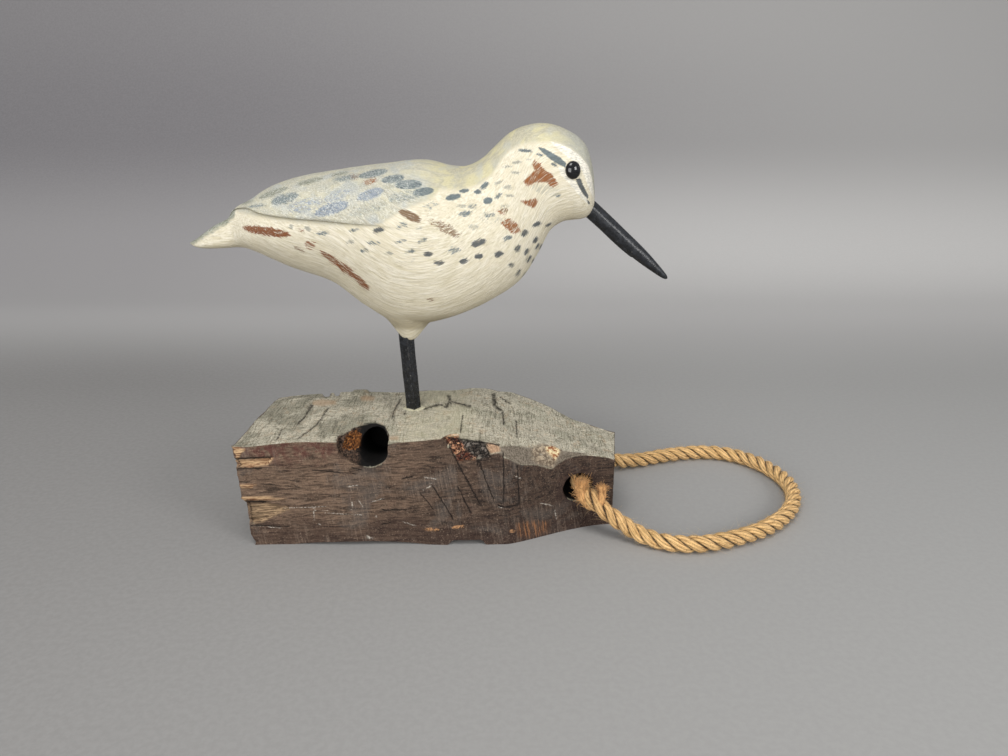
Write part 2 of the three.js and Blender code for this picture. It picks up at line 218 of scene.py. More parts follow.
# %% [markdown]
# A finish is a Principled shader with a pattern built from nodes. The same few nodes come back in every
# finish, so a small class gives each a short word: noise for cloudy spots, fade for a soft threshold, coats
# for one paint after another, bump for relief that is too fine for the mesh. Patterns are in millimetres on
# the piece itself, so that they keep their scale and stay put in every view.

# %% Words for building a finish
def tint(code):
    """A colour written as six sRGB digits, as the linear numbers that shaders work in."""
    parts = [int(code[i:i + 2], 16) / 255 for i in (0, 2, 4)]
    return [p / 12.92 if p <= 0.04045 else ((p + 0.055) / 1.055) ** 2.4 for p in parts] + [1.0]


class Finish:
    """One material and the nodes of its pattern."""

    def __init__(self, name, roughness=0.7, **sockets):
        self.material = bpy.data.materials.new(name)
        self.material.use_nodes = True
        self.tree = self.material.node_tree
        self.shader = self.tree.nodes["Principled BSDF"]
        self.shader.inputs["Roughness"].default_value = roughness
        for socket, value in sockets.items():
            self.shader.inputs[socket.replace("_", " ")].default_value = value

    def node(self, kind, sockets, **settings):
        """Adds a node, sets its properties, and sets or links the sockets that are given."""
        made = self.tree.nodes.new("ShaderNode" + kind)
        for name, value in settings.items():
            setattr(made, name, value)
        for socket, value in sockets.items():
            if isinstance(value, bpy.types.NodeSocket):
                self.tree.links.new(value, made.inputs[socket])
            else:
                made.inputs[socket].default_value = value
        return made

    def field(self, name, output="Fac"):
        """A number kept with the points, or three of them where the output is Vector."""
        return self.node("Attribute", {}, attribute_name=name).outputs[output]

    def stretched(self, vector, stretch):
        """A vector with each axis divided by its stretch."""
        factors = [1 / s for s in stretch]
        return self.node("VectorMath", {0: vector, 1: factors}, operation="MULTIPLY").outputs[0]

    def place(self):
        """The place on the piece in millimetres."""
        return self.stretched(self.node("TexCoord", {}).outputs["Object"], (MM, MM, MM))

    def turned(self, vector, angle):
        """A place turned round the north axis."""
        return self.node("Mapping", {"Vector": vector, "Rotation": (0, angle, 0)}).outputs[0]

    def parts(self, vector):
        """The three numbers of a vector."""
        return self.node("SeparateXYZ", {0: vector}).outputs

    def facing(self):
        """The three numbers of the surface's outward direction."""
        return self.parts(self.node("NewGeometry", {}).outputs["Normal"])

    def noise(self, vector, size, detail=3, rough=0.5, bend=0.0):
        """Cloudy values around 0.5, with spots of about that size, or of that size along each axis."""
        if isinstance(size, tuple):
            vector, size = self.stretched(vector, size), 1.0
        sockets = {"Vector": vector, "Scale": 1 / size, "Detail": detail, "Roughness": rough}
        return self.node("TexNoise", {**sockets, "Distortion": bend}).outputs[0]

    def chunks(self, vector, size):
        """Lumps of about that size: how far a place is from its lump's edge, and each lump's random grey."""
        sockets = {"Vector": vector, "Scale": 1 / size}
        gap = self.node("TexVoronoi", sockets, feature="DISTANCE_TO_EDGE").outputs["Distance"]
        return gap, self.node("TexVoronoi", sockets, feature="F1").outputs["Color"]

    def math(self, what, a, b=0.0, c=0.0):
        """One sum."""
        return self.node("Math", {0: a, 1: b, 2: c}, operation=what).outputs[0]

    def times(self, a, b):
        """The product of two values."""
        return self.math("MULTIPLY", a, b)

    def shaken(self, value, noise, reach):
        """A value moved up or down by a noise around 0.5, by half the reach at most."""
        return self.math("MULTIPLY_ADD", self.math("SUBTRACT", noise, 0.5), reach, value)

    def fade(self, value, low, high, start=0.0, stop=1.0):
        """From start where the value is low to stop where it is high, softly."""
        sockets = {"Value": value, "From Min": low, "From Max": high, "To Min": start, "To Max": stop}
        return self.node("MapRange", sockets, interpolation_type="SMOOTHSTEP").outputs[0]

    def blend(self, amount, under, over, how="MIX"):
        """One colour over another, by an amount. A colour may be six sRGB digits."""
        under, over = (tint(c) if isinstance(c, str) else c for c in (under, over))
        return self.node("Mix", {0: amount, 6: under, 7: over}, data_type="RGBA", blend_type=how).outputs[2]

    def two_tone(self, value, low, high, first, second):
        """The first colour where the value is low, and the second where it is high."""
        return self.blend(self.fade(value, low, high), first, second)

    def coats(self, colour, *layers):
        """More colours over one. Each layer is a colour and its amount, or a colour, a value, where on that
        value the coat begins and is full, and how strong it is there."""
        for over, value, *limits in layers:
            if limits:
                low, full, strength = limits
                value = self.fade(value, low, full, 0, strength)
            colour = self.blend(value, colour, over)
        return colour

    def bump(self, height, depth):
        """A surface direction tilted as a relief of that depth in millimetres would tilt it."""
        return self.node("Bump", {"Height": height, "Distance": depth * MM, "Strength": 1.0}).outputs[0]

    def wear(self, **results):
        """Links each result to the shader's socket of that name."""
        for socket, value in results.items():
            self.tree.links.new(value, self.shader.inputs[socket.replace("_", " ")])


def dress(piece, finish, slot, *nodes):
    """Gives a piece its finish and lets it ride with the object, in place of the plain solids named."""
    piece.data.materials.append(finish.material)
    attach(piece, "root")
    if nodes:
        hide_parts(*nodes)


# %% [markdown]
# The rope is three strands laid right-handed, of a golden natural fibre. It comes out of the front of a
# hole through the timber, goes round on the ground and in again at the back. It could be a plain tube with
# a painted twist, but the strands' outline shows along the whole loop, so each strand is made as a tube
# that winds round the rope's own line. The line is the one that the plain solid follows.

# %% The rope's line
ROPE_DIAMETER = 9.6 * MM
ROPE_ROUTE = MM * np.array([
    [82.4, -7, 25.6], [83.3, -14.5, 25.5], [85.3, -21.5, 24.8], [88.8, -27.2, 22.6], [93.6, -30.8, 19.0],
    [99.4, -32.6, 14.6], [106.2, -34.6, 10.3], [114.0, -38.0, 6.7], [122.6, -42.4, 4.95],
    [132.1, -46.2, 4.8], [143.5, -47.2, 4.8], [155.5, -44.9, 4.8], [168.5, -40.2, 4.8], [181.2, -33.8, 4.8],
    [193.4, -25.0, 4.8], [204.6, -13.6, 4.8], [214.0, 1.6, 4.8], [218.9, 18.2, 4.8], [219.2, 32.4, 4.8],
    [215.9, 46.4, 4.8], [208.9, 59.6, 4.8], [198.4, 70.2, 4.8], [183.3, 76.0, 4.8], [164.4, 75.0, 4.8],
    [146.6, 69.6, 4.8], [129.6, 63.0, 5.0], [115.6, 57.6, 7.0], [103.6, 51.8, 12.2], [94.0, 44.6, 18.6],
    [87.0, 36.2, 23.4], [83.2, 27.4, 25.4], [82.0, 18.5, 25.6],
])


def smooth_line(points, steps=24):
    """A line through the points: between each two a cubic, whose end slopes weigh the chords on either side
    by the square roots of their lengths."""
    padded = np.vstack((2 * points[0] - points[1], points, 2 * points[-1] - points[-2]))
    p0, p1, p2, p3 = padded[:-3], padded[1:-2], padded[2:-1], padded[3:]
    g0, g1, g2 = (np.sqrt(np.linalg.norm(b - a, axis=1))[:, None] for a, b in ((p0, p1), (p1, p2), (p2, p3)))
    leave = g1 * ((p1 - p0) / g0 - (p2 - p0) / (g0 + g1) + (p2 - p1) / g1)
    reach = g1 * ((p2 - p1) / g1 - (p3 - p1) / (g1 + g2) + (p3 - p2) / g2)
    t = np.linspace(0, 1, steps, endpoint=False)[None, :, None]
    p1, p2, leave, reach = (v[:, None] for v in (p1, p2, leave, reach))
    square, cube = 3 * (p2 - p1) - 2 * leave - reach, 2 * (p1 - p2) + leave + reach
    line = p1 + t * leave + t**2 * square + t**3 * cube
    return np.vstack((line.reshape(-1, 3), points[-1:]))


def reach_of(line):
    """How far along a line each of its points lies."""
    return np.concatenate(([0], np.cumsum(np.linalg.norm(np.diff(line, axis=0), axis=1))))


def evenly(line, count):
    """The same line with its points an even length apart, and its whole length."""
    reach = reach_of(line)
    at = np.linspace(0, reach[-1], count)
    return together(*(np.interp(at, reach, values) for values in line.T)), reach[-1]


def unit(vectors):
    """Each vector at length one."""
    return vectors / np.linalg.norm(vectors, axis=-1, keepdims=True)


rope_line, rope_length = evenly(smooth_line(ROPE_ROUTE), 560)
print("rope length in mm:", round(rope_length / MM, 1))

# %% Three strands
STRAND_RADIUS = 0.238 * ROPE_DIAMETER
STRAND_OFFSET = 0.262 * ROPE_DIAMETER
ROPE_LAY = 2.5 * ROPE_DIAMETER
YARN_LAY = 2.4 * ROPE_DIAMETER
YARNS = 7
STRAND_SIDES = 40


def strand_grid(line, reach, start_angle, seed):
    """A tube round a helix. The helix stands off the line by STRAND_OFFSET and turns once each ROPE_LAY, and
    the tube's radius dips between its yarns, which turn the other way. Also gives each point's place along
    and around the strand in millimetres, how high on a yarn it lies, and its direction away from the line."""
    ahead = unit(np.gradient(line, axis=0))
    side = unit(np.cross(ahead, (0, 0, 1)))
    up = np.cross(side, ahead)
    outward = ring_ways(start_angle + 2 * math.pi * reach / ROPE_LAY, up, side)
    centre = line + STRAND_OFFSET * outward
    strand_ahead = unit(np.gradient(centre, axis=0))
    across = unit(np.cross(strand_ahead, outward))
    outward = np.cross(across, strand_ahead)
    around = np.linspace(-math.pi, math.pi, STRAND_SIDES, endpoint=False)[None, :]
    yarn = around + 2 * math.pi * reach[:, None] / YARN_LAY
    crest = np.abs(np.cos(0.5 * YARNS * yarn)) ** 0.6
    place = together(reach[:, None] / (5 * MM), around * 0.6, seed * 9.0)
    radius = STRAND_RADIUS * (0.985 + 0.10 * cloudy(place, 1.0) + 0.13 * (crest - 1))
    away = ring_ways(around, outward[:, None], across[:, None])
    grid = centre[:, None] + radius[..., None] * away
    lie = together(reach[:, None] / MM, yarn * STRAND_RADIUS / MM, 40.0 * seed)
    return grid, lie, crest, away


reach_along = np.linspace(0, rope_length, len(rope_line))
strands = [strand_grid(rope_line, reach_along, k * 2 * math.pi / 3, k) for k in range(3)]
grids, lies, crests, aways = zip(*strands)
faces = ring_faces(*grids[0].shape[:2])
rope = add_piece("rope_strands", *joined([(closed_values(grid), *faces) for grid in grids]))
from_line = [np.linalg.norm(grid - rope_line[:, None], axis=-1) / (0.5 * ROPE_DIAMETER) for grid in grids]
for name, per_strand in (("lie", lies), ("crest", crests), ("proud", from_line)):
    keep(rope, name, np.concatenate([closed_values(values) for values in per_strand]))

# %% [markdown]
# Old natural rope is hairy: short broken fibres stand off it all along, and where the rope's end has been
# cut and unlaid beside the hole, two strands open into brushes. Blender's hair could do this, but loose
# fibres made as thin three-sided tubes stay real mesh, so that they export with the rope.

# %% Loose fibres
def fibre_parts(roots, ways, lengths, droop, thickness, chance, steps=5):
    """Thin tubes: each leaves its root along its way, bends by a random amount that grows with the square of
    the distance, sinks by the droop, and tapers to a third of its thickness."""
    t = np.linspace(0, 1, steps)[None, :, None]
    bend = chance.normal(0, 0.35, (len(roots), 1, 3))
    bend[..., 2] -= droop
    spine = roots[:, None] + lengths[:, None, None] * (t * ways[:, None] + t**2 * bend)
    spine[..., 2] = np.maximum(spine[..., 2], 0.25 * MM)
    ahead = unit(np.gradient(spine, axis=1) + 1e-9)
    side = unit(np.cross(ahead, unit(chance.normal(0, 1, (len(roots), 1, 3)))))
    other = np.cross(ahead, side)
    ring = ring_ways(all_round(3), side[:, :, None], other[:, :, None])
    grid = spine[:, :, None] + thickness * (1 - 0.65 * t[..., None]) * ring
    count = len(roots)
    places = np.concatenate((grid.reshape(count, -1, 3), grid[:, [0, -1]].mean(axis=2)), axis=1)
    quads, triangles = ring_faces(steps, 3)
    offset = (np.arange(count) * places.shape[1])[:, None, None]
    return places.reshape(-1, 3), (quads + offset).reshape(-1, 4), (triangles + offset).reshape(-1, 3)


FUZZ_COUNT = 2600
FUZZ_THICKNESS = 0.055 * MM
chance = np.random.default_rng(7)
which = chance.integers(0, 3, FUZZ_COUNT)
row = chance.integers(20, len(rope_line) - 20, FUZZ_COUNT)
column = chance.integers(STRAND_SIDES // 4, 3 * STRAND_SIDES // 4, FUZZ_COUNT)
fuzz_roots = np.stack(grids)[which, row, column]
fuzz_away = np.stack(aways)[which, row, column]
rope_ahead = np.gradient(rope_line, axis=0)
fuzz_ways = unit(unit(rope_ahead[row]) * chance.choice((-1, 1), (FUZZ_COUNT, 1)) + fuzz_away * 0.45)
fuzz_lengths = chance.uniform(1.5, 5.5, FUZZ_COUNT) * MM
fuzz = add_piece("rope_fuzz", *fibre_parts(fuzz_roots, fuzz_ways, fuzz_lengths, 0.1, FUZZ_THICKNESS, chance))

# %% The frayed strand ends beside the hole
LEFT_END = MM * np.array([
    [89.5, -28.5, 17.5], [86.5, -27.8, 19.5], [84.0, -26.8, 23.5], [83.0, -26.0, 28.0], [83.2, -25.2, 32.5],
])
RIGHT_END = MM * np.array([
    [93.0, -31.8, 20.5], [94.4, -31.6, 24.0], [94.6, -31.0, 28.0], [94.2, -30.2, 31.5],
])
FRAYED_RINGS = 40
FRAYED_SIDES = 24
FRAYED_THICKNESS = 0.17 * MM


def frayed_end(route, radius, seed, count):
    """A bent tube that swells towards its open end, and fibres that leave its outer half, most of them near
    the end and along it, some of them sideways."""
    line = evenly(smooth_line(route), FRAYED_RINGS)[0]
    ahead = unit(np.gradient(line, axis=0))
    side = unit(np.cross(ahead, (0, 1, 0)))
    other = np.cross(ahead, side)
    away = ring_ways(all_round(FRAYED_SIDES), side[:, None], other[:, None])
    along = np.linspace(0, 1, FRAYED_RINGS)[:, None]
    lumps = 1 + 0.16 * cloudy(line[:, None] + away * 2 * MM, 1.6 * MM, seed)
    grid = line[:, None] + (radius * (0.8 + 0.3 * along) * lumps)[..., None] * away
    random = np.random.default_rng(seed)
    at = ((FRAYED_RINGS - 1) * random.beta(2.4, 0.9, count)).astype(int)
    spot = random.integers(0, FRAYED_SIDES, count)
    depth = random.uniform(0.2, 1.0, (count, 1))
    roots = line[at] + depth * (grid[at, spot] - line[at])
    spread = 0.25 + 0.75 * random.random((count, 1))
    ways = unit(ahead[at] * random.uniform(0.3, 1.2, (count, 1)) + away[at, spot] * spread)
    lengths = random.uniform(1.4, 4.0, count) * MM * radius / (2.8 * MM)
    fibres = fibre_parts(roots, ways, lengths, 0.15, FRAYED_THICKNESS, random)
    return (closed_values(grid), *ring_faces(FRAYED_RINGS, FRAYED_SIDES)), fibres


left_tube, left_fibres = frayed_end(LEFT_END, 3.0 * MM, 21, 520)
right_tube, right_fibres = frayed_end(RIGHT_END, 2.1 * MM, 22, 300)
frayed = add_piece("rope_frayed_ends", *joined([left_tube, right_tube, left_fibres, right_fibres]))

# %% [markdown]
# The fibre's colour runs in streaks along each yarn, with painted shade making it browner and darker down in
# the grooves, so that the crests stay paler. The pattern is read from the place along and around the strand
# that was kept with the points, so that it winds with the strand.

# %% The rope's finish
def rope_finish(name, follows_strand, dull, bright):
    """Golden fibre: bright streaks on dull ones, stained near the hole, brown painted shade in grooves."""
    finish = Finish(name, roughness=0.85, Specular_IOR_Level=0.2, Sheen_Weight=0.08, Sheen_Roughness=0.5)
    place = finish.place()
    on_strand = (finish.field("lie", "Vector"), (5.0, 0.45, 1.0))
    along, streak = on_strand if follows_strand else (place, (0.6, 0.6, 3.0))
    fine = finish.noise(along, streak, 5, 0.7, 0.4)
    colour = finish.coats(
        finish.two_tone(fine, 0.32, 0.54, dull, bright),
        ("d0a868", finish.noise(place, 9.0), 0.45, 0.75, 0.4),
        ("7a4e28", finish.noise(place, 1.3, 3, 0.6), 0.58, 0.7, 0.6),
        ("a87c50", finish.parts(place)[0], 116, 92, 0.3),
    )
    if follows_strand:
        # painted shade: browner in the grooves between yarns, and darker deep between the strands
        groove_shade = ("7a4a1c", finish.field("crest"), 0.85, 0.2, 0.85)
        colour = finish.coats(colour, groove_shade, ("3a2610", finish.field("proud"), 0.86, 0.62, 0.92))
    finish.wear(Base_Color=colour, Normal=finish.bump(fine, 0.9))
    return finish


dress(rope, rope_finish("rope_fibre", True, "9c6c34", "fdd394"), "rope_fibre", "rope")
dress(fuzz, rope_finish("loose_fibre", False, "a98048", "ead0a0"), "rope_fibre")
dress(frayed, rope_finish("frayed_fibre", False, "6b3c1c", "f0ba7c"), "rope_fibre")

# %% [markdown]
# The bird is carved from one piece of wood: tail, wings, breast, neck and head. Its shape is a row of
# rounded sections, each across the line from a point of the back to a point of the belly, and the places
# between two rows follow smooth curves. The plain solid uses the same rows. Here the grid is much finer,
# and its columns crowd at the wing's lower edge, so that the carved step there stays crisp.

# %% The bird's sections
BLOCK_LENGTH = 206.0
BLOCK_DEPTH = 79.0
BLOCK_HEIGHT = 62.0
LEG_LEAN = math.radians(3.5)
LEG_SHOWN = 42.0
LEG_FOOT = np.array((-0.064 * BLOCK_LENGTH, 0.127 * BLOCK_DEPTH, BLOCK_HEIGHT))
LEG_UP = np.array((-math.sin(LEG_LEAN), 0, math.cos(LEG_LEAN)))
BODY_SEAT = LEG_FOOT + LEG_SHOWN * LEG_UP
BODY_UNIT = 2.23
SECTIONS = np.array([
    [-52.2, 25.3, -52.2, 25.0, 1.4, 0.6, 0, 0, 0.95],
    [-50.2, 26.4, -50.5, 24.1, 3.0, 0.6, 0, 0, 0.95],
    [-46.1, 29.2, -47.5, 23.7, 4.3, 0.6, 0, 0, 0.95],
    [-41.8, 31.4, -42.2, 24.0, 5.0, 0.65, 0, 0, 0.95],
    [-39.8, 33.9, -40.0, 24.0, 5.5, 0.8, 0, 0.5, 0.94],
    [-36.5, 35.6, -37.4, 23.6, 7.6, 0.9, 0, 0.9, 0.88],
    [-31.0, 38.8, -33.5, 21.9, 10.2, 1, 0.05, 1.0, 0.68],
    [-23.3, 41.2, -27.0, 19.0, 12.5, 1, 0.1, 0.9, 0.615],
    [-10.3, 43.3, -17.5, 15.4, 14.6, 1, 0.18, 0.6, 0.595],
    [-2.0, 44.3, -10.0, 9.6, 15.2, 1, 0.25, 0.2, 0.63],
    [6.0, 44.9, -2.5, 5.2, 15.2, 1, 0.22, 0, 0.64],
    [12.0, 43.7, 6.0, 4.9, 14.6, 1, 0.12, 0, 0.64],
    [16.0, 43.5, 15.5, 7.8, 13.6, 1, 0.04, 0, 0.64],
    [19.6, 45.1, 23.3, 11.7, 12.2, 1, 0, 0, 0.64],
    [22.8, 48.0, 29.4, 16.2, 10.6, 1, -0.02, 0, 0.64],
    [26.3, 51.1, 33.4, 22.4, 9.2, 1, 0, 0, 0.64],
    [30.8, 52.9, 36.2, 27.9, 8.6, 1, 0.04, 0, 0.64],
    [35.6, 53.1, 39.0, 30.0, 8.5, 1, 0.06, 0, 0.64],
    [40.6, 51.4, 41.6, 30.6, 8.0, 1, 0.06, 0, 0.64],
    [44.3, 48.5, 43.4, 30.8, 7.0, 1, 0.04, 0, 0.64],
    [46.2, 43.6, 44.8, 31.2, 5.4, 1, 0, 0, 0.64],
    [46.9, 38.0, 45.8, 31.9, 3.4, 1, 0, 0, 0.64],
    [47.0, 34.6, 46.5, 33.0, 1.2, 1, 0, 0, 0.64],
])


def smooth_rows(rows, at):
    """Rows between the given ones: a cubic through each column, its slope at a row half the step between that
    row's neighbours. at counts rows from 0."""
    at = np.clip(at, 0, len(rows) - 1)
    i = np.minimum(np.floor(at).astype(int), len(rows) - 2)
    t = (at - i)[:, None]
    p, a, b, n = (rows[np.clip(i + k, 0, len(rows) - 1)] for k in (-1, 0, 1, 2))
    return a + 0.5 * t * (b - p + t * (2 * p - 5 * a + 4 * b - n + t * (3 * a - p - 3 * b + n)))


# Rows an even distance apart along the bird's middle line
BODY_ROWS = 380
dense_at = np.linspace(0, len(SECTIONS) - 1, 2000)
dense = smooth_rows(SECTIONS, dense_at)
middle_reach = reach_of((dense[:, :2] + dense[:, 2:4]) / 2)
body_reach = np.linspace(0, middle_reach[-1], BODY_ROWS)
body_at = np.interp(body_reach, middle_reach, dense_at)
print("the bird's middle line is", round(middle_reach[-1] * BODY_UNIT, 1), "mm long")

# %% The bird's skin
WING_COLUMNS = 64
BELLY_COLUMNS = 54


def signed_power(value, power):
    """A power that keeps the value's sign."""
    return np.sign(value) * np.abs(value) ** power


def half_skin(rows, wing_share, belly_share):
    """One side of the bird, from the back down to the belly. The angle round the section runs to the wing's
    edge over wing_share, where the wing stands proud, and on to the belly over belly_share. The height across
    the section is the cosine of the angle, and the width is its sine, both to the power of the squareness."""
    back_x, back_z, belly_x, belly_z, half_width, square, fullness, wing, edge = (c[:, None] for c in rows.T)
    edge_angle = np.arccos(signed_power(np.clip(2 * edge - 1, -1, 1), 1 / square))
    rounded = np.sqrt(1 - 0.7 * np.clip((wing_share - 0.95) / 0.05, 0, 1) ** 2)
    raised = wing * np.sin(wing_share * math.pi / 2) * rounded
    past_edge = edge_angle + belly_share * (math.pi - edge_angle)
    angle = np.concatenate((wing_share * edge_angle, past_edge), axis=1)
    raised = np.concatenate((raised, 0 * belly_share + 0 * wing), axis=1)
    lift = (1 + signed_power(np.cos(angle), square)) / 2
    out = half_width * np.abs(np.sin(angle)) ** square * (1 + fullness * np.cos(angle)) + raised
    x = belly_x + lift * (back_x - belly_x)
    z = belly_z + lift * (back_z - belly_z)
    return x, out, z, lift


def both_sides(values):
    """The columns of one side, and those of the other side from the belly back up."""
    return np.concatenate((values, values[:, -2:0:-1]), axis=1)


body_rows = smooth_rows(SECTIONS, body_at)
wing_share = (1 - (1 - np.linspace(0, 1, WING_COLUMNS)) ** 1.5)[None, :]
belly_share = 0.003 + 0.997 * np.linspace(0, 1, BELLY_COLUMNS)[None, :] ** 1.15
x, out, z, lift = half_skin(body_rows, wing_share, belly_share)
y = np.concatenate((-out, out[:, -2:0:-1]), axis=1)
body_grid = (BODY_SEAT + BODY_UNIT * together(both_sides(x), y, both_sides(z))) * MM

# %% [markdown]
# Under the belly the carver left a swelling that runs down to the leg like a short funnel. It is one with
# the body, so it is made by pulling the belly's own points down to the funnel's profile, with a soft
# minimum where the two meet. Very slight unevenness, as a knife and sandpaper leave, goes over it all.

# %% The swelling and the carver's unevenness
BOSS_RADIUS = 6.0 * MM
BOSS_HEIGHT = 17.0 * MM
boss_reach = BOSS_RADIUS * np.array([0.0, 0.5, 0.72, 1.05, 1.45, 1.87, 2.33, 3.0, 4.0])
boss_rise = BOSS_HEIGHT * np.array([0.0, 0.0, 0.04, 0.17, 0.35, 0.53, 0.71, 1.03, 2.2])
boss_place = (BODY_SEAT + np.array((1.4, 0, 0.7))) * MM


def pulled_to_boss(places):
    """Points of the belly near the leg go down to the funnel's height at their distance from its axis. The
    soft minimum of two heights is the lower one, less a sixth of the blend where they are equal."""
    off = np.hypot(places[..., 0] - boss_place[0], 1.25 * (places[..., 1] - boss_place[1]))
    slant = 0.22 * np.maximum(boss_place[0] - 0.5 * MM - places[..., 0], 0)
    target = boss_place[2] + slant + np.interp(off, boss_reach, boss_rise)
    blend = 2.0 * MM
    near = np.maximum(blend - np.abs(places[..., 2] - target), 0) / blend
    lower = np.minimum(places[..., 2], target) - near**3 * blend / 6
    under = off < boss_reach[-1]
    low_side = places[..., 2] < boss_place[2] + 40 * MM
    height = np.where(under & low_side, np.maximum(lower, boss_place[2] + slant), places[..., 2])
    return np.concatenate((places[..., :2], height[..., None]), axis=-1)


body_grid = pulled_to_boss(body_grid)
body = add_skin("bird", body_grid)
body_places = places_of(body)
body_normals = normals_of(body)
uneven = 0.16 * cloudy(body_places, 14 * MM, 3) + 0.07 * cloudy(body_places, 5 * MM, 4)
body_places = body_places + (uneven - 0.12)[:, None] * MM * body_normals
move_to(body, body_places)

# %% [markdown]
# The plumage was painted by hand over a cream ground: a grey-green back, crown and wing, slate ovals and
# dashes, a dark stripe through the eye, and rubbed rust-brown patches. Each mark is a row of a table: the
# pixel where its middle shows, its length and height in pixels, its slope, its colour and how dry the brush
# was. For every point of the mesh the signed distance to the nearest mark's edge is worked out and kept.
# Distances blend well between points, so the edges stay sharp, and the shader can fray them with noise.

# %% Painted marks
SLATE, DARK, OLIVE, BLUE, WHITE, RUST, ORANGE, BROWN, FAINT = range(9)
PAINTS = ["5e6d73", "474e54", "808374", "7f8b9a", "efebde", "783a00", "864600", "75593f", "a3a296"]

# Wing feathers: across, down, length, height, slope, paint, dryness
WING_MARKS = [
    (408.4, 184.5, 27, 9.4, -3, SLATE, -0.1), (392.8, 178.8, 23, 7.5, -10, SLATE, 0.0),
    (373.0, 173.6, 29, 7, -12, SLATE, 0.1), (346.0, 178.0, 26, 5.5, -8, SLATE, 0.45),
    (339.7, 173.8, 17, 2.8, -12, OLIVE, 0.2), (310.0, 181.4, 26, 4.4, -15, OLIVE, 0.3),
    (273.3, 192.8, 31, 5.6, -20, OLIVE, 0.2), (285.0, 198.6, 28, 9.2, -16, SLATE, 0.35),
    (247.5, 202.2, 12, 2.2, -16, OLIVE, 0.3), (256.0, 206.0, 16, 2.2, -8, SLATE, 0.4),
    (305.3, 204.8, 36, 12, -15, BLUE, 0.6), (337.3, 195.5, 31, 10, -20, BLUE, 0.6),
    (331.9, 208.8, 35, 11, -18, BLUE, 0.25), (370.2, 194.4, 28, 10, -19, BLUE, 0.3),
    (367.8, 209.5, 35, 9.5, -16, SLATE, 0.7), (403.8, 196.8, 32, 10, -8, SLATE, 0.6),
    (423.0, 191.8, 22, 8, -10, SLATE, 0.05), (356.0, 186.0, 26, 5, -10, OLIVE, 0.7),
    (324.0, 186.5, 24, 4, -14, OLIVE, 0.7), (388.0, 187.5, 12, 4, -10, OLIVE, 0.7),
]

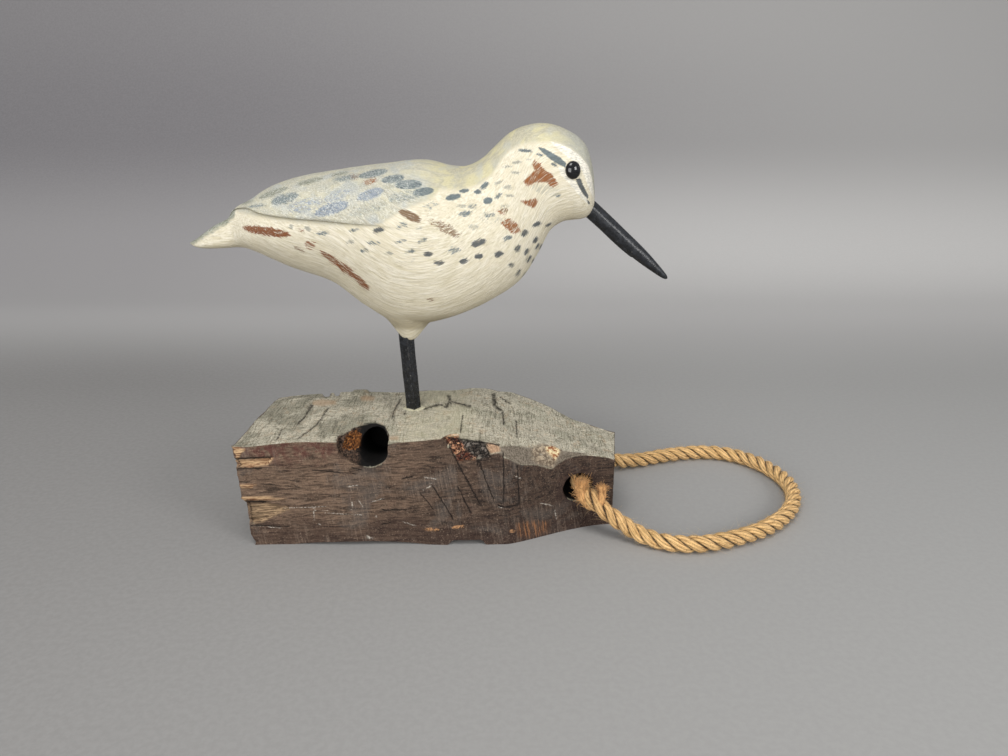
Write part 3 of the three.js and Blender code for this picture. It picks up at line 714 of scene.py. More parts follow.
# Dashes and spots on the side, breast, neck and head
SPOT_MARKS = [
    (290.7, 226.6, 5, 3.6, 35, FAINT, 0.3), (307.6, 228.6, 6.5, 3.8, 30, FAINT, 0.3),
    (322.5, 233.3, 12, 3.4, -6, SLATE, 0.5), (353.4, 230.3, 9.5, 2.4, -12, SLATE, 0.3),
    (379.2, 229.8, 12, 4.6, -12, DARK, 0.3), (402.2, 225.5, 10, 4, -25, SLATE, 0.55),
    (350.6, 241.9, 8.5, 2.8, -5, FAINT, 0.4), (374.4, 242.8, 11, 2.4, 2, SLATE, 0.4),
    (400.3, 241.3, 11, 2.4, -12, SLATE, 0.4), (422.5, 240.3, 10, 2.4, -18, SLATE, 0.4),
    (363.9, 250.5, 7, 2.8, 0, SLATE, 0.3), (388.9, 253.0, 8, 2.4, 0, FAINT, 0.3),
    (410.0, 251.3, 11, 2.8, -8, SLATE, 0.3), (428.0, 254.0, 10.5, 4.4, -2, DARK, 0.15),
    (413.0, 260.3, 3.5, 1.8, -30, FAINT, 0.3), (454.0, 250.2, 10, 5, -8, SLATE, 0.5),
    (438.7, 263.1, 10.3, 4.4, 0, DARK, 0.3), (463.6, 261.3, 9, 5.6, -12, DARK, 0.3),
    (478.9, 256.3, 9, 5, -6, DARK, 0.15), (498.8, 254.0, 9, 5.4, -22, DARK, 0.2),
    (478.4, 243.0, 15, 6.4, -18, DARK, 0.3), (508.2, 238.0, 8.6, 4.6, -15, SLATE, 0.35),
    (524.5, 233.1, 8.5, 5.2, -52, DARK, 0.25), (536.6, 224.5, 9.5, 4.2, -26, DARK, 0.25),
    (548.5, 224.8, 6.5, 2.0, -26, DARK, 0.3), (535.6, 239.7, 7.5, 3.6, -62, DARK, 0.2),
    (517.8, 248.5, 7.5, 4.2, -52, DARK, 0.3), (526.6, 251.8, 7.5, 3.6, -60, DARK, 0.3),
    (537.4, 246.3, 7, 2.2, -58, DARK, 0.2), (540.7, 246.8, 6, 1.6, -62, DARK, 0.2),
    (529.0, 259.0, 8, 3.0, -60, DARK, 0.3), (533.1, 261.0, 5, 1.5, -65, DARK, 0.3),
    (511.2, 265.0, 5.5, 3.8, -30, DARK, 0.3), (518.2, 272.9, 7.5, 2.6, -55, DARK, 0.35),
    (524.8, 274.5, 6, 1.4, -55, DARK, 0.3), (453.2, 197.1, 15.5, 5.8, -12, SLATE, 0.1),
    (464.0, 190.8, 10, 3.8, -8, SLATE, 0.1), (477.7, 191.8, 7.5, 4.4, -8, SLATE, 0.1),
    (484.7, 185.5, 10, 4.6, -42, SLATE, 0.2), (488.0, 200.7, 9.5, 6.2, -10, SLATE, 0.1),
    (498.3, 195.8, 7.5, 3.6, -38, SLATE, 0.4), (498.8, 182.7, 8, 2.6, -20, FAINT, 0.3),
    (507.6, 187.5, 7.5, 4.4, 0, FAINT, 0.45), (465.6, 213.7, 12.5, 5.4, -6, SLATE, 0.45),
    (472.2, 205.9, 8.5, 4.4, 0, SLATE, 0.55), (461.5, 205.9, 8, 2.6, 0, FAINT, 0.4),
    (489.3, 215.3, 10, 4.2, 0, SLATE, 0.5), (430.0, 205.9, 13, 5.0, -15, SLATE, 0.65),
    (473.9, 226.9, 10, 4.4, 0, FAINT, 0.55), (509.6, 195.8, 8, 1.8, 2, FAINT, 0.3),
    (505.4, 205.9, 7, 2.4, 0, FAINT, 0.4), (557.6, 195.0, 5, 3.8, 0, SLATE, 0.45),
    (525.0, 150.7, 12.5, 2.8, 3, SLATE, 0.2), (539.7, 154.8, 6.6, 2.0, 22, SLATE, 0.3),
    (554.3, 164.8, 6, 2.8, 28, SLATE, 0.25), (516.7, 162.3, 9, 2.6, -10, FAINT, 0.2),
    (529.0, 159.4, 5, 1.6, -5, FAINT, 0.2), (507.4, 166.6, 8, 1.7, -8, FAINT, 0.2),
    (515.4, 172.5, 8, 1.8, 6, FAINT, 0.3), (588.4, 202.2, 4.5, 1.8, 65, DARK, 0.1),
    (420.0, 228.0, 5, 1.6, -10, FAINT, 0.4),
]

# Rubbed places where brown shows through the cream
RUBBED_MARKS = [
    (266.3, 231.4, 47, 8.4, 9, RUST, 0.3), (309.8, 244.7, 9, 6, 22, RUST, 0.6),
    (299.0, 249.4, 10, 1.8, 26, BROWN, 0.5), (331.0, 258.4, 24, 5.0, 34, RUST, 0.42),
    (346.0, 269.5, 26, 7.2, 36, RUST, 0.36), (359.5, 280.5, 26, 5.6, 44, RUST, 0.38),
    (410.0, 215.8, 24, 8.4, 26, BROWN, 0.25), (447.4, 229.4, 26, 8.0, 30, BROWN, 0.52),
    (436.0, 224.0, 12, 3.0, 32, BROWN, 0.65), (501.5, 212.0, 7, 2.0, 20, ORANGE, 0.5),
    (503.7, 210.4, 8, 4.4, 0, BROWN, 0.5), (546.0, 189.6, 24, 8, 14, FAINT, 0.7),
    (370.2, 181.4, 12, 4.2, -14, ORANGE, 0.55), (355.0, 176.7, 4, 1.6, 0, ORANGE, 0.75),
    (494.0, 219.0, 24, 6, 12, FAINT, 0.8), (430.0, 300.0, 4, 1.6, 0, BROWN, 0.6),
    (302.5, 231.0, 5, 1.6, 0, RUST, 0.6),
]

# Shapes with corners, by their outlines: the strokes round the eye, and the rubbed cheek, neck and breast
WHITE_BROW = [
    (551, 141.8), (559.7, 143.7), (570.2, 148.6), (579.1, 155.3), (588.1, 165.8), (591.8, 177.7),
    (593.3, 188.2), (594, 199), (590, 191), (586, 180), (582, 170), (577, 163), (568, 157), (559, 150),
]
WHITE_CHEEK = [
    (559, 166.5), (565.7, 168.8), (568.7, 175.5), (574.7, 180.7), (581.4, 191.2), (586.6, 198.6),
    (589.6, 206.1), (585.1, 201), (577.7, 193.5), (570.2, 184.5), (564.2, 178.5), (559.7, 172.6),
]
EYE_STRIPE = [
    (538.6, 147.4), (544.8, 148.6), (552.3, 153.1), (559.7, 157.1), (566, 162.8), (565.5, 167.5),
    (559.7, 165), (552.3, 160.6), (544.8, 154.6), (540, 149.9),
]
LOWER_STRIPE = [
    (575.8, 179.6), (580.2, 178), (583.9, 186.7), (588.6, 196.4), (587.4, 198.4), (583.4, 194.6),
    (579, 186.9),
]
CHEEK = [
    (534.2, 160.2), (539, 163), (543.3, 168.8), (552.3, 174.8), (558, 184), (552.3, 187), (544.8, 182),
    (536, 182.6), (527, 186), (524, 181), (530.4, 174.8), (535, 170.3), (532.6, 165),
]
NECK_RUST = [(520, 200.6), (528.4, 200.6), (535.5, 198), (538, 203), (533.6, 208), (527, 205)]
BREAST_RUST = [(499, 220), (509, 218.6), (517, 223.6), (520, 231.5), (514.2, 234), (505.5, 228)]
OUTLINES = {
    "wing": [(WHITE_BROW, WHITE, 0.05), (WHITE_CHEEK, WHITE, 0.15)],
    "spot": [(EYE_STRIPE, SLATE, 0.0), (LOWER_STRIPE, DARK, 0.0)],
    "rubbed": [(CHEEK, ORANGE, 0.34), (NECK_RUST, ORANGE, 0.34), (BREAST_RUST, ORANGE, 0.4)],
}


def outline_distance(pixels, outline):
    """Signed distance in pixels to a closed outline: the least distance to any of its sides, negative inside.
    A pixel is inside if a line from it crosses the sides an odd number of times."""
    outline = np.asarray(outline, dtype=float)
    best = np.full(len(pixels), 1e3)
    inside = np.zeros(len(pixels), dtype=bool)
    for a, b in zip(outline, np.roll(outline, -1, axis=0)):
        side = b - a
        t = np.clip(((pixels - a) @ side) / (side @ side), 0, 1)
        best = np.minimum(best, np.linalg.norm(pixels - a - t[:, None] * side, axis=1))
        spans = (a[1] > pixels[:, 1]) != (b[1] > pixels[:, 1])
        crossing = a[0] + (pixels[:, 1] - a[1]) * side[0] / (side[1] if side[1] else 1e-9)
        inside ^= spans & (pixels[:, 0] < crossing)
    return np.where(inside, -best, best)


def nearest_mark(pixels, marks):
    """Signed distance in pixels to the nearest ellipse's edge, and that mark's row. In the ellipse's own
    axes, with k the length of the place over the half sizes and g its length over their squares, the
    distance is k(k - 1)/g."""
    best = np.full(len(pixels), 1e3)
    chosen = np.zeros(len(pixels), dtype=int)
    for index, (across, down, length, height, slope, *looks) in enumerate(marks):
        turn = math.radians(slope)
        dx, dy = pixels[:, 0] - across, pixels[:, 1] - down
        u = (dx * math.cos(turn) + dy * math.sin(turn)) * 2 / length
        v = (dy * math.cos(turn) - dx * math.sin(turn)) * 2 / height
        k = np.hypot(u, v)
        g = np.hypot(u * 2 / length, v * 2 / height) + 1e-9
        distance = k * (k - 1) / g
        nearer = distance < best
        best[nearer] = distance[nearer]
        chosen[nearer] = index
    return best, chosen


# %% Laying the marks on both sides
body_middle = BODY_SEAT[1] * MM
from_middle = body_places[:, 1] - body_middle
seen_side = body_places.copy()
seen_side[:, 1] = body_middle - np.abs(from_middle)
facing = body_normals.copy()
facing[:, 1] = np.where(from_middle > 0, -facing[:, 1], facing[:, 1])
body_pixels = seen_at(seen_side)
towards = np.einsum("ij,ij->i", facing, unit(CAMERA_PLACE - seen_side))

# The left side is painted by the same hand, so its marks wander a little from the right side's
wander = soft_step(from_middle, 2 * MM, 16 * MM)[:, None]
drift = together(cloudy(seen_side, 22 * MM, 11), cloudy(seen_side, 22 * MM, 12))
marked_pixels = body_pixels + wander * drift * 9
hidden = 9 * soft_step(-towards, 0.02, 0.4) * (body_normals[:, 2] < 0.2)
PAINT_TABLE = np.array([tint(code)[:3] for code in PAINTS])
for layer, marks in (("wing", WING_MARKS), ("spot", SPOT_MARKS), ("rubbed", RUBBED_MARKS)):
    distance, chosen = nearest_mark(marked_pixels, marks)
    paint_of = np.array([mark[5] for mark in marks])[chosen]
    dryness = np.array([mark[6] for mark in marks])[chosen]
    for outline, paint_number, dry in OUTLINES[layer]:
        other = outline_distance(marked_pixels, outline)
        nearer = other < distance
        distance = np.where(nearer, other, distance)
        paint_of = np.where(nearer, paint_number, paint_of)
        dryness = np.where(nearer, dry, dryness)
    keep(body, layer + "_edge", distance + hidden)
    keep(body, layer + "_paint", PAINT_TABLE[paint_of])
    keep(body, layer + "_dry", dryness)

# %% The ground colours
# Where grey-green meets cream, from the wing's tip along its lower edge, up its front and over the crown
CAP_LINE = np.array([
    [235, 209], [241, 212], [256, 216], [281, 219.5], [312, 223.5], [337, 225.5], [357, 227], [378, 225],
    [392, 217], [404, 209], [418, 204], [432, 198], [440, 189], [460, 190], [480, 184], [492, 174.5],
    [500, 161.5], [507.5, 151.6], [519.4, 144.6], [530, 142.6], [539, 141.9], [551.5, 141.6],
    [559.7, 143.7], [570.2, 148.6], [579.1, 155.3], [588.1, 165.8], [591.8, 177.7], [593.3, 188.2],
    [595.6, 201.6], [600, 230],
])
TAIL_LINE = np.array([
    [188, 246], [195.4, 243.4], [202.3, 238.3], [216.2, 229.8], [226.6, 224.4], [230.5, 220], [236, 216],
])
cap_rise = np.interp(body_pixels[:, 0], *CAP_LINE.T) - body_pixels[:, 1]
tail_rise = np.interp(body_pixels[:, 0], *TAIL_LINE.T) - body_pixels[:, 1]
TAIL_END = 235
keep(body, "cap", np.where(body_pixels[:, 0] < TAIL_END, np.maximum(tail_rise, -20), cap_rise))
keep(body, "seen_across", marked_pixels[:, 0])

# Place along the bird and across it in millimetres, for brush strokes that follow the form
lift_all = both_sides(lift)
section_height = np.hypot(body_rows[:, 0] - body_rows[:, 2], body_rows[:, 1] - body_rows[:, 3])[:, None]
flow_along = body_reach[:, None] * BODY_UNIT
flow_up = lift_all * (section_height * BODY_UNIT)
keep(body, "flow", closed_values(together(flow_along, body_grid[..., 1] / MM, flow_up)))

# Dirt and painted shade lie along the step under the wing, and painted shade up round the swelling where it
# meets the belly
past_edge = both_sides(np.concatenate((np.ones(WING_COLUMNS), np.linspace(0, 1, BELLY_COLUMNS)))[None, :])
wing_thick = np.clip(body_rows[:, 7], 0, 1)[:, None]
keep(body, "wing_step_dirt_and_shade", closed_values(wing_thick**0.5 * (1 - soft_step(past_edge, 0.0, 0.035))))
from_boss = np.hypot(body_grid[..., 0] - boss_place[0], body_grid[..., 1] - boss_place[1]) / BOSS_RADIUS
above_boss = (body_grid[..., 2] - boss_place[2]) / MM
round_boss = soft_step(above_boss, 6.0, 8.5) * (1 - soft_step(above_boss, 11, 22))
keep(body, "boss_shade", closed_values(round_boss * (1 - soft_step(from_boss, 3.0, 9.0))))
print("pixels of the bird:", body_pixels.min(axis=0).round(), body_pixels.max(axis=0).round())

# %% [markdown]
# The paint is matt and put on with a stiff brush: fine streaks run along the bird, and the back is several
# thin tones worked into each other. The cream is painted warmer and darker on the underside, where it faces
# down, as painted shade. Each kept layer of marks goes over that ground. A dry mark only catches the crests
# of the brush streaks, so its edge distance is pushed about by the same streaky noise that makes the relief.

# %% The bird's paint
paint = Finish("bird_paint", roughness=0.62, Specular_IOR_Level=0.25)
flow = paint.field("flow", "Vector")
streaks = paint.noise(flow, (11.0, 0.8, 0.8), 5, 0.68, 0.6)
broad = paint.noise(flow, (26.0, 5.0, 5.0), 3, 0.55, 0.5)
blotch = paint.noise(flow, 11.0, 3, 0.5, 0.3)
bristle = paint.noise(flow, (7.5, 0.45, 0.45), 4, 0.62, 0.6)
curls = paint.noise(flow, (4.0, 1.3, 1.3), 2, 0.5, 2.2)
speck = paint.noise(paint.place(), 0.8, 2)

cream = paint.coats(
    paint.two_tone(streaks, 0.32, 0.66, "d0c6a9", "f1ead8"),
    ("e2d8bd", broad, 0.42, 0.68, 0.5),
    ("d0c5a8", blotch, 0.5, 0.75, 0.3),
    # painted shade: the cream turns darker and olive where the surface faces down
    ("9d9070", paint.math("MULTIPLY_ADD", broad, 0.35, paint.facing()[2]), -0.1, -0.95, 0.4),
)
wing_ground = paint.coats(
    paint.two_tone(streaks, 0.35, 0.65, "a19f8f", "c9c3ae"),
    ("c6c0a4", broad, 0.45, 0.62, 0.7),
    ("a4abae", blotch, 0.5, 0.66, 0.55),
)
seen_across = paint.field("seen_across")
wing_part = paint.fade(seen_across, 445.0, 400.0)
grey = paint.coats(
    paint.two_tone(streaks, 0.34, 0.66, "ada892", "ccc6ae"),
    ("d3cba2", broad, 0.45, 0.62, 0.75),
    ("bcbcb2", blotch, 0.52, 0.7, 0.6),
    (wing_ground, wing_part),
    ("a1a5a4", seen_across, 545.0, 580.0, 0.55),
    ("828574", seen_across, 238.0, 233.0, 1.0),
)
cap_edge = paint.shaken(paint.field("cap"), streaks, 12.0)
colour = paint.coats(
    paint.blend(paint.fade(cap_edge, -3.0, 3.4), cream, grey),
    ("a2967a", bristle, 0.56, 0.7, 0.5),
    ("fbf8ee", bristle, 0.4, 0.28, 0.5),
)

# %% The marks over the ground
PAINT_STRENGTH = 0.93


def painted(under, layer, ragged, hair):
    """One layer of marks over the colour so far. The edge is the kept distance pushed about by a fine noise,
    and where the brush was dry the streaks decide what the paint catches."""
    dry = paint.field(layer + "_dry")
    fray = paint.times(paint.math("SUBTRACT", ragged, 0.5), paint.math("MULTIPLY_ADD", dry, 22.0, 2.6))
    edge = paint.math("SUBTRACT", paint.field(layer + "_edge"), fray)
    catch = paint.fade(paint.math("SUBTRACT", hair, paint.times(dry, 0.42)), 0.16, 0.34)
    cover = paint.times(paint.times(paint.fade(edge, 0.7, -0.5), catch), PAINT_STRENGTH)
    thinness = paint.blend(paint.fade(hair, 0.35, 0.65), (0.7, 0.7, 0.7, 1), (1.2, 1.18, 1.15, 1))
    over = paint.blend(1.0, paint.field(layer + "_paint", "Vector"), thinness, "MULTIPLY")
    return paint.blend(cover, under, over)


colour = painted(colour, "wing", bristle, streaks)
curl_line = paint.fade(paint.math("ABSOLUTE", paint.math("SUBTRACT", curls, 0.5)), 0.04, 0.02, 0, 0.7)
on_wing = paint.times(wing_part, paint.fade(paint.field("cap"), 0.0, 3.0))
colour = paint.coats(colour, ("e6e6dc", paint.times(on_wing, curl_line)))
colour = painted(colour, "rubbed", bristle, bristle)
colour = painted(colour, "spot", bristle, streaks)
colour = paint.coats(
    colour,
    # dirt and painted shade along the step under the wing
    ("766a47", paint.times(paint.field("wing_step_dirt_and_shade"), paint.fade(streaks, 0.25, 0.6, 0.45, 0.75))),
    # painted shade round the swelling where it meets the belly
    ("85785a", paint.times(paint.field("boss_shade"), paint.fade(streaks, 0.25, 0.6, 0.25, 0.65))),
    ("8f8466", speck, 0.7, 0.8, 0.35),
)
relief = paint.math("MULTIPLY_ADD", streaks, 0.7, paint.times(bristle, 0.3))
paint.wear(Base_Color=colour, Normal=paint.bump(relief, 1.0))
dress(body, paint, "painted_wood", "body")

# %% [markdown]
# The eyes are small black beads set into the face, and they shine. A bead is a flattened ball whose middle
# lies on the skin. Its place is the point of the skin straight out from the middle plane, found among the
# body's own points, and it looks along the skin's outward direction there.

# %% The eyes
EYE_RADIUS = 4.3 * MM
EYE_BULGE = 2.6 * MM
EYE_PLACE = (BODY_SEAT[[0, 2]] + BODY_UNIT * np.array((40.9, 42.95))) * MM
shine = {"Specular_IOR_Level": 0.45, "Coat_Weight": 0.25, "Coat_Roughness": 0.03}
bead_black = Finish("eye_bead", roughness=0.06, **shine)
bead_black.shader.inputs["Base Color"].default_value = tint("060609")
handling = bead_black.noise(bead_black.place(), 2.2)
bead_black.wear(Roughness=bead_black.fade(handling, 0.35, 0.8, 0.05, 0.16))


def bead(side):
    """A ball of rings, flattened along the skin's outward direction at the eye's place."""
    this_side = np.flatnonzero(np.sign(body_places[:, 1] - body_middle) == side)
    miss = np.hypot(body_places[this_side, 0] - EYE_PLACE[0], body_places[this_side, 2] - EYE_PLACE[1])
    nearest = this_side[np.argsort(miss)[:60]]
    centre = np.array((EYE_PLACE[0], body_places[nearest[0], 1], EYE_PLACE[1]))
    outward = unit(body_normals[nearest].mean(axis=0))
    ahead = unit(np.cross((0, side, 0), (0, 0, 1)) * side)
    ahead = unit(ahead - outward * (ahead @ outward))
    other = np.cross(outward, ahead)
    polar = np.linspace(0.02, math.pi - 0.02, 33)[:, None, None]
    ring = ring_ways(all_round(48)[None, :], 0.93 * ahead, 1.06 * other)
    return centre + EYE_RADIUS * 1.02 * np.sin(polar) * ring + EYE_BULGE * np.cos(polar) * outward


for name, side in (("eye_right", -1), ("eye_left", 1)):
    eye = add_skin(name + "_bead", bead(side))
    dress(eye, bead_black, "eye_bead", name)

# %% [markdown]
# The bill is a tapered dowel, painted black and handled until it is satin. It is a profile turned round its
# own line: full for more than half its length, then drawn in to a blunt tip. A small chip is missing from
# its lower side, and hand work shows as very slight flats. The leg is a square black stick whose corners
# have worn back to brown wood.

# %% The bill
BILL_RADIUS = 4.8
BILL_LENGTH = 58.0
BILL_IN_HEAD = 9.0
BILL_DROP = math.radians(40.8)
BILL_ROOT = BODY_SEAT + BODY_UNIT * np.array((46.2, 0, 33.0))
BILL_WAY = np.array((math.cos(BILL_DROP), 0, -math.sin(BILL_DROP)))
BILL_TOP = np.array((math.sin(BILL_DROP), 0, math.cos(BILL_DROP)))


def bill_grid():
    """A circle of radius r carried along the bill, with r = R(1 - 0.1 t - 0.68 t^2.6) and t the share of its
    length, rounded off over the last hundredths. The lower side is fuller up to the step where a chip has
    broken off, and a little fuller from there to the tip."""
    t = np.concatenate((np.linspace(-BILL_IN_HEAD / BILL_LENGTH, 0, 10), np.linspace(0.01, 0.93, 110)))
    t = np.concatenate((t, 1 - 0.07 * np.cos(np.linspace(0.02, 1, 24) * math.pi / 2) ** 1.3))[:, None]
    around = all_round(56)[None, :]
    share = np.clip(t, 0, 1)
    radius = BILL_RADIUS * (1 - 0.1 * share - 0.68 * share**2.6)
    radius = radius * np.sqrt(np.clip((1 - t) / 0.035, 0, 1) * (2 - np.clip((1 - t) / 0.035, 0, 1)))
    low = (0.5 - 0.5 * np.cos(around)) ** 1.5
    before_chip = 0.17 * soft_step(t, 0.12, 0.5) * (1 - soft_step(t, 0.585, 0.603))
    after_chip = 0.07 * soft_step(t, 0.585, 0.603) * (1 - soft_step(t, 0.92, 1.0))
    wider = 0.09 * soft_step(t, 0.35, 0.75) * (1 - soft_step(t, 0.93, 1.0))
    flats = 0.018 * np.cos(5 * around + 3 * t) + 0.01 * np.cos(3 * around - 8 * t)
    radius = radius * (0.99 + flats + wider + low * (before_chip + after_chip))
    off = ring_ways(around, BILL_TOP, (0, 1, 0))
    return (BILL_ROOT + BILL_LENGTH * t[..., None] * BILL_WAY + radius[..., None] * off) * MM


def black_finish(name, worn):
    """Black paint with fine pale specks. The worn one shows brown at its corners, is smoother, and has more
    specks."""
    finish = Finish(name, roughness=0.4)
    rub = finish.noise(finish.place(), 2.6, 4, 0.65)
    specks = finish.noise(finish.place(), 0.7, 2)
    colour = finish.two_tone(rub, 0.4, 0.75, "131518", "282b31")
    if worn:
        bare = finish.math("MULTIPLY_ADD", rub, 2.2, finish.field("corner"))
        colour = finish.coats(colour, ("4c3c2c", bare, 2.2, 2.5, 0.4))
    rare = 0.69 if worn else 0.73
    smooth, dull = (0.2, 0.38) if worn else (0.25, 0.42)
    relief = finish.math("MULTIPLY_ADD", specks, 0.4, rub)
    finish.wear(
        Base_Color=finish.coats(colour, ("b5b1a2", specks, rare, rare + 0.05, 0.8)),
        Roughness=finish.fade(rub, 0.3, 0.75, smooth, dull),
        Normal=finish.bump(relief, 0.12),
    )
    return finish


bill = add_skin("bill_dowel", bill_grid())
dress(bill, black_finish("bill_black", False), "black_paint", "bill")

# %% The leg
LEG_SIDE = 6.3
LEG_IN_BLOCK = 24.0
LEG_IN_BODY = 20.0
LEG_TURN = math.radians(-32)


def leg_grid():
    """A square with small round corners, |cos|^p and |sin|^p to a low power, carried up the leg's line. Its
    width wavers by a few hundredths. Also gives how near each point is to a corner."""
    t = np.linspace(-LEG_IN_BLOCK, LEG_SHOWN + LEG_IN_BODY, 150)[:, None]
    around = all_round(64)[None, :] + 0 * t
    square = 1 / (np.abs(np.cos(around)) ** 16 + np.abs(np.sin(around)) ** 16) ** (1 / 16)
    waver = 0.995 + 0.012 * np.sin(t / 6.1) * np.cos(around) + 0.01 * np.sin(t / 3.3 + 2 * around)
    reach = LEG_SIDE / 2 * square * waver
    lean_x = np.array((math.cos(LEG_LEAN), 0, math.sin(LEG_LEAN)))
    off = reach[..., None] * ring_ways(around + LEG_TURN, lean_x, (0, 1, 0))
    return (LEG_FOOT + t[..., None] * LEG_UP + off) * MM, soft_step(square, 1.1, 1.28)


leg_places, leg_corner = leg_grid()
leg = add_skin("leg_stick", leg_places)
keep(leg, "corner", closed_values(leg_corner))
dress(leg, black_finish("leg_black", True), "black_paint", "leg")

# %% [markdown]
# The hole for the leg was too wide, and somebody packed it with pale putty, now dusty and cracked round its
# rim. It is a low crowned ring round the leg, turned as a profile and roughened.

# %% The putty
PUTTY_RADIUS = 7.25
PUTTY_CROWN = 1.1


def putty_grid():
    """A low dome: height C(1 - r^4) above the timber at the share r of its radius, with a soft random relief,
    and a skirt that goes down into the timber."""
    share = np.concatenate((np.linspace(0.02, 1, 40), np.full(8, 1.0)))[:, None]
    drop = np.concatenate((np.zeros(40), np.linspace(0.6, 6.5, 8)))[:, None]
    around = all_round(96)[None, :]
    x = PUTTY_RADIUS * share * np.cos(around) * 0.99
    y = PUTTY_RADIUS * share * np.sin(around) * 0.99
    rough = cloudy(together(x, y, 0), 2.2, 5)
    z = PUTTY_CROWN * (1 - share**4) - drop + 0.22 * rough * (share < 1) - 0.15
    return (LEG_FOOT + together(x, y, z)) * MM, share + 0 * around


putty_places, putty_share = putty_grid()
ring = add_skin("putty_ring", putty_places)
keep(ring, "rim", closed_values(putty_share))
putty = Finish("putty", roughness=0.95, Specular_IOR_Level=0.2)
lumpy = putty.noise(putty.place(), 1.1, 4, 0.6)
dusty = putty.noise(putty.place(), 4.0)
colour = putty.coats(
    putty.two_tone(lumpy, 0.35, 0.65, "b3ad90", "dbd5bb"),
    ("8b8872", dusty, 0.55, 0.75, 0.5),
    ("3c382b", putty.shaken(putty.field("rim"), dusty, 0.35), 0.9, 1.02, 0.85),
)
putty.wear(Base_Color=colour, Normal=putty.bump(lumpy, 0.5))
dress(ring, putty, "filler", "foot_putty")

# %% [markdown]
# The stand is a piece of old timber, weathered grey-green on top and dark brown on its sawn side. An old peg
# hole has broken through its front top edge, the edge beside it has crumbled, and its left end has split
# along the grain. The timber is a box of lattice points pushed to the same uneven faces as the plain solid,
# with relief added along the surface's own direction, and the holes are then cut with Boolean modifiers,
# whose cutters are closed skins too.

# %% The timber's faces
TOP_PROFILE = np.array([
    [-0.52, 0.95], [-0.34, 1.0], [-0.14, 1.005], [0.03, 1.025], [0.11, 1.05], [0.19, 1.0], [0.29, 0.885],
    [0.39, 0.765], [0.52, 0.655],
])
EDGE_LOSS = np.array([
    [-0.52, 0.013], [0.0, 0.013], [0.035, 0.065], [0.06, 0.177], [0.11, 0.185], [0.16, 0.129],
    [0.23, 0.161], [0.31, 0.121], [0.35, 0.04], [0.37, 0.019], [0.52, 0.019],
])
EDGE_SLOPE = np.array([[-0.52, 0.9], [0.03, 0.5], [0.12, 0.35], [0.2, 0.8], [0.3, 1.1], [0.52, 1]])


def curve_value(pairs, at):
    """The height of a smooth curve through pairs of place and value."""
    table = smooth_rows(pairs, np.linspace(0, len(pairs) - 1, len(pairs) * 12))
    return np.interp(at, table[:, 0], table[:, 1])


def turned_in(x):
    """From 0 where the faces begin to turn in towards the right end, to 1 at that end."""
    return np.clip((x - 0.2) / 0.3, 0, 1)


def front_curve(x):
    """Where the front lies at a share along the timber, as a share of its depth."""
    return -0.5 + 0.295 * np.sin(0.5 * math.pi * turned_in(x)) ** 1.35


def timber_point(u, v, w):
    """Places of the timber's faces in millimetres, from shares along, across and up: each face is its mean
    place plus a slow curve, and the front top edge is cut back at a slope by as much as it has lost."""
    corner = 0.01 * (1 - soft_step(w, 0, 0.12))
    lean = (0.02 - 0.01 * v) * (1 - w) + 0.007 * soft_step(w, 0.47, 0.445) + corner
    left = -0.505 + lean + 0.02 * v
    x = left + u * (0.493 + 0.029 * v - left)
    front = front_curve(x) - 0.006 * np.sin(21 * x + 4 * w)
    back = 0.5 - 0.15 * turned_in(x) ** 1.6 + 0.008 * np.sin(17 * x + 3 * w)
    y = (front + v * (back - front)) * BLOCK_DEPTH
    top = curve_value(TOP_PROFILE, x) * BLOCK_HEIGHT + 0.35 * np.sin(31 * x + 9 * v)
    notch = soft_step(x, 0.04, 0.06) * (1 - soft_step(x, 0.13, 0.15)) * (1 - soft_step(v, 0, 0.14))
    z = 2.6 * notch * (1 - w) + w * top
    steep = 1 / curve_value(EDGE_SLOPE, x)
    lost = curve_value(EDGE_LOSS, x) * BLOCK_HEIGHT - (y - front * BLOCK_DEPTH) * steep - (top - z)
    back_off = np.maximum(lost, 0) / (steep**2 + 1)
    return together(x * BLOCK_LENGTH, y + back_off * steep, z - back_off)


def lattice_box(along, across, up):
    """The outside of a lattice of cells: its points as shares of each axis, and its faces as quads."""
    size = np.array((along, across, up)) + 1
    quads = []
    for axis in range(3):
        others = [a for a in range(3) if a != axis]
        first, second = np.indices(size[others] - 1)
        for end in (0, size[axis] - 1):
            corners = []
            for da, db in ((0, 0), (1, 0), (1, 1), (0, 1)):
                at = [None, None, None]
                at[axis] = np.full_like(first, end)
                at[others[0]] = first + da
                at[others[1]] = second + db
                corners.append((at[0] * size[1] + at[1]) * size[2] + at[2])
            face = together(*corners).reshape(-1, 4)
            quads.append(face[:, ::-1] if (end == 0) == (axis != 1) else face)
    used, quads = np.unique(np.concatenate(quads), return_inverse=True)
    shares = together(*np.unravel_index(used, size)) / (size - 1)
    return shares, quads.reshape(-1, 4)


shares, timber_quads = lattice_box(300, 58, 58)
crowded = shares.copy()
crowded[:, 1:] = 0.6 * shares[:, 1:] + 0.4 * (0.5 - 0.5 * np.cos(math.pi * shares[:, 1:]))
timber_places = timber_point(*crowded.T) * MM
timber = add_piece("timber", timber_places, timber_quads, [])

